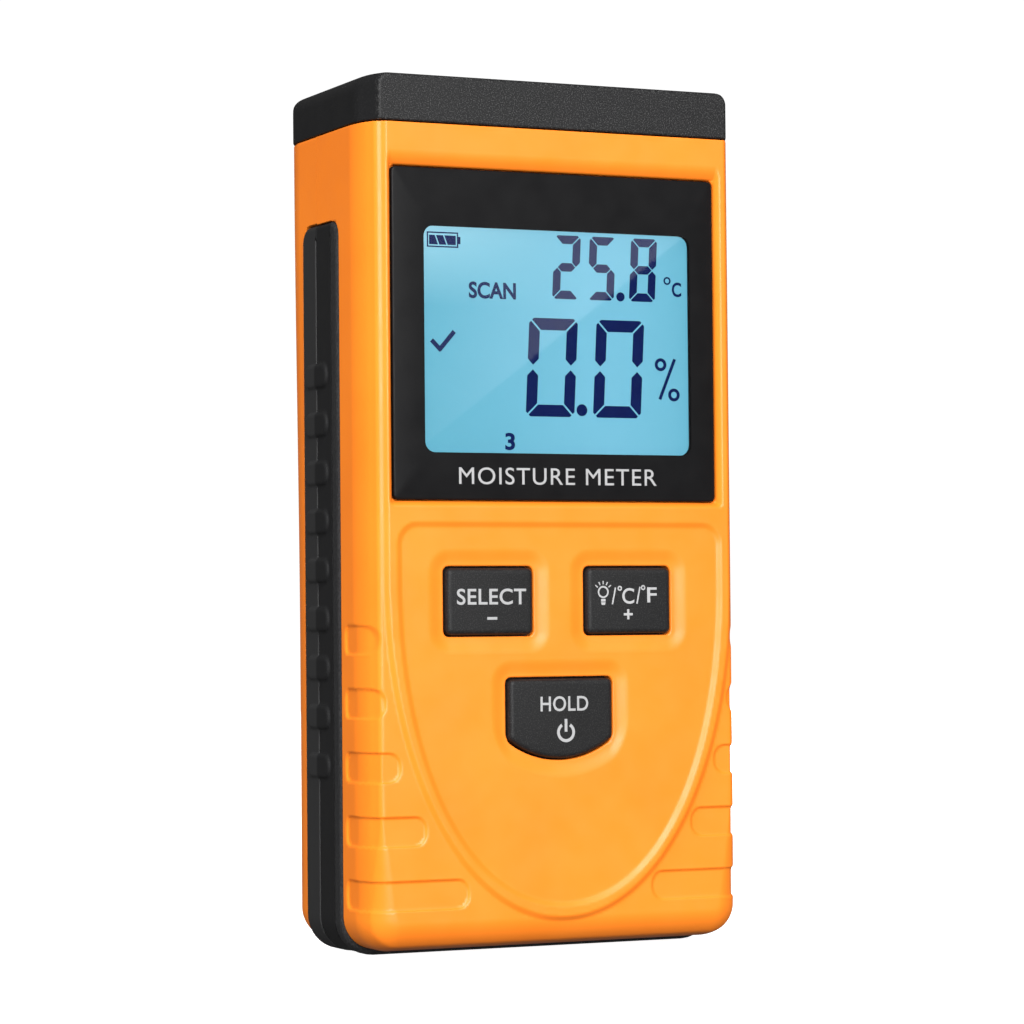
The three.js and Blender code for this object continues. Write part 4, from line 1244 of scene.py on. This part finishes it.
def studio():
    """A white room that lights softly, softboxes ahead, on the left and behind, and a card for the lens."""
    world = bpy.data.worlds.new("studio")
    bpy.context.scene.world = world
    world.use_nodes = True
    nodes, links = world.node_tree.nodes, world.node_tree.links
    background = nodes["Background"]
    path = nodes.new("ShaderNodeLightPath")
    seen = nodes.new("ShaderNodeMapRange")
    seen.inputs["To Min"].default_value = ROOM_LIGHT
    seen.inputs["To Max"].default_value = BACKDROP_LIGHT
    links.new(path.outputs["Is Camera Ray"], seen.inputs["Value"])
    background.inputs["Color"].default_value = (1, 1, 1, 1)
    links.new(seen.outputs["Result"], background.inputs["Strength"])
    middle = (0, 0, 0.07)
    softbox("key", (-0.22, -1.25, 0.55), middle, (0.7, 1.1), 35)
    softbox("fill", (-1.2, -0.35, 0.45), middle, (0.7, 0.9), 13, mirrored=False)
    softbox("behind", (0.45, 1.3, 0.6), middle, (0.9, 1.1), 18, mirrored=False)
    card()
    bpy.context.scene.view_settings.view_transform = "Standard"


def card():
    """A card that the lens mirrors towards the camera: its slanted edge shows, and it fades to the left."""
    start, end, depth, card_y = np.array([489.0, 144.0]), np.array([712.5, 310.0]), 220, -1217
    along = (end - start) / math.dist(start, end)
    across = np.array([-along[1], along[0]])
    outline = [start, end, end + across * depth, start + across * depth]
    sheet = mesh_object("card", [(x, card_y, z) for x, z in outline], [(0, 1, 2, 3)])
    made = Finish("card", Base_Color=(0, 0, 0, 1), Specular_IOR_Level=0.0, Emission_Color=(1, 1, 1, 1))
    made.drive("Emission Strength", made.remap(made.along("X"), 0.5, 0.59, 0.3, 0.9))
    sheet.data.materials.append(made.material)
    sheet.visible_camera = False
    sheet.visible_diffuse = False
    sheet.visible_shadow = False


# ---- assembly

FINISHES = plain_finishes()


def dress_frame():
    """Every CAD node takes the finish of its slot, which its packed material is named after."""
    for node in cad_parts.values():
        slot = node.data.materials[0].name
        node.data.materials.clear()
        node.data.materials.append(FINISHES[slot])


def assemble():
    dress_frame()
    dress(front_shell(), "orange_plastic", replaced=["front_shell"])
    dress(rear_shell(), "orange_plastic", replaced=["rear_shell"])
    grained = black_plastic("grained_black_plastic", speck=0.062, grain=0.03, front_y=CAP_LOW[1]).material
    dress(top_cap(), "black_plastic", replaced=["top_cap"], finish=grained)
    dress(grip_band(), "grip_rubber", replaced=["grip_band"])
    for name in KEYS:
        dress(key_cap(name), "black_plastic", name.replace("key", "button"), [name])
    lens_plate()
    display_marks(lit_segment().material)
    legends(pale_print().material)
    dress(pad_plate(), "black_plastic", replaced=["sensor_pad"])
    dress(battery_door(), "orange_plastic", "door", ["battery_door"])
    dress(battery_body(), "battery_wrap", replaced=["battery_case"])
    for name in CASE_SCREWS:
        dress(case_screw(name), "steel", replaced=[name])


camera()
studio()
floor()
assemble()
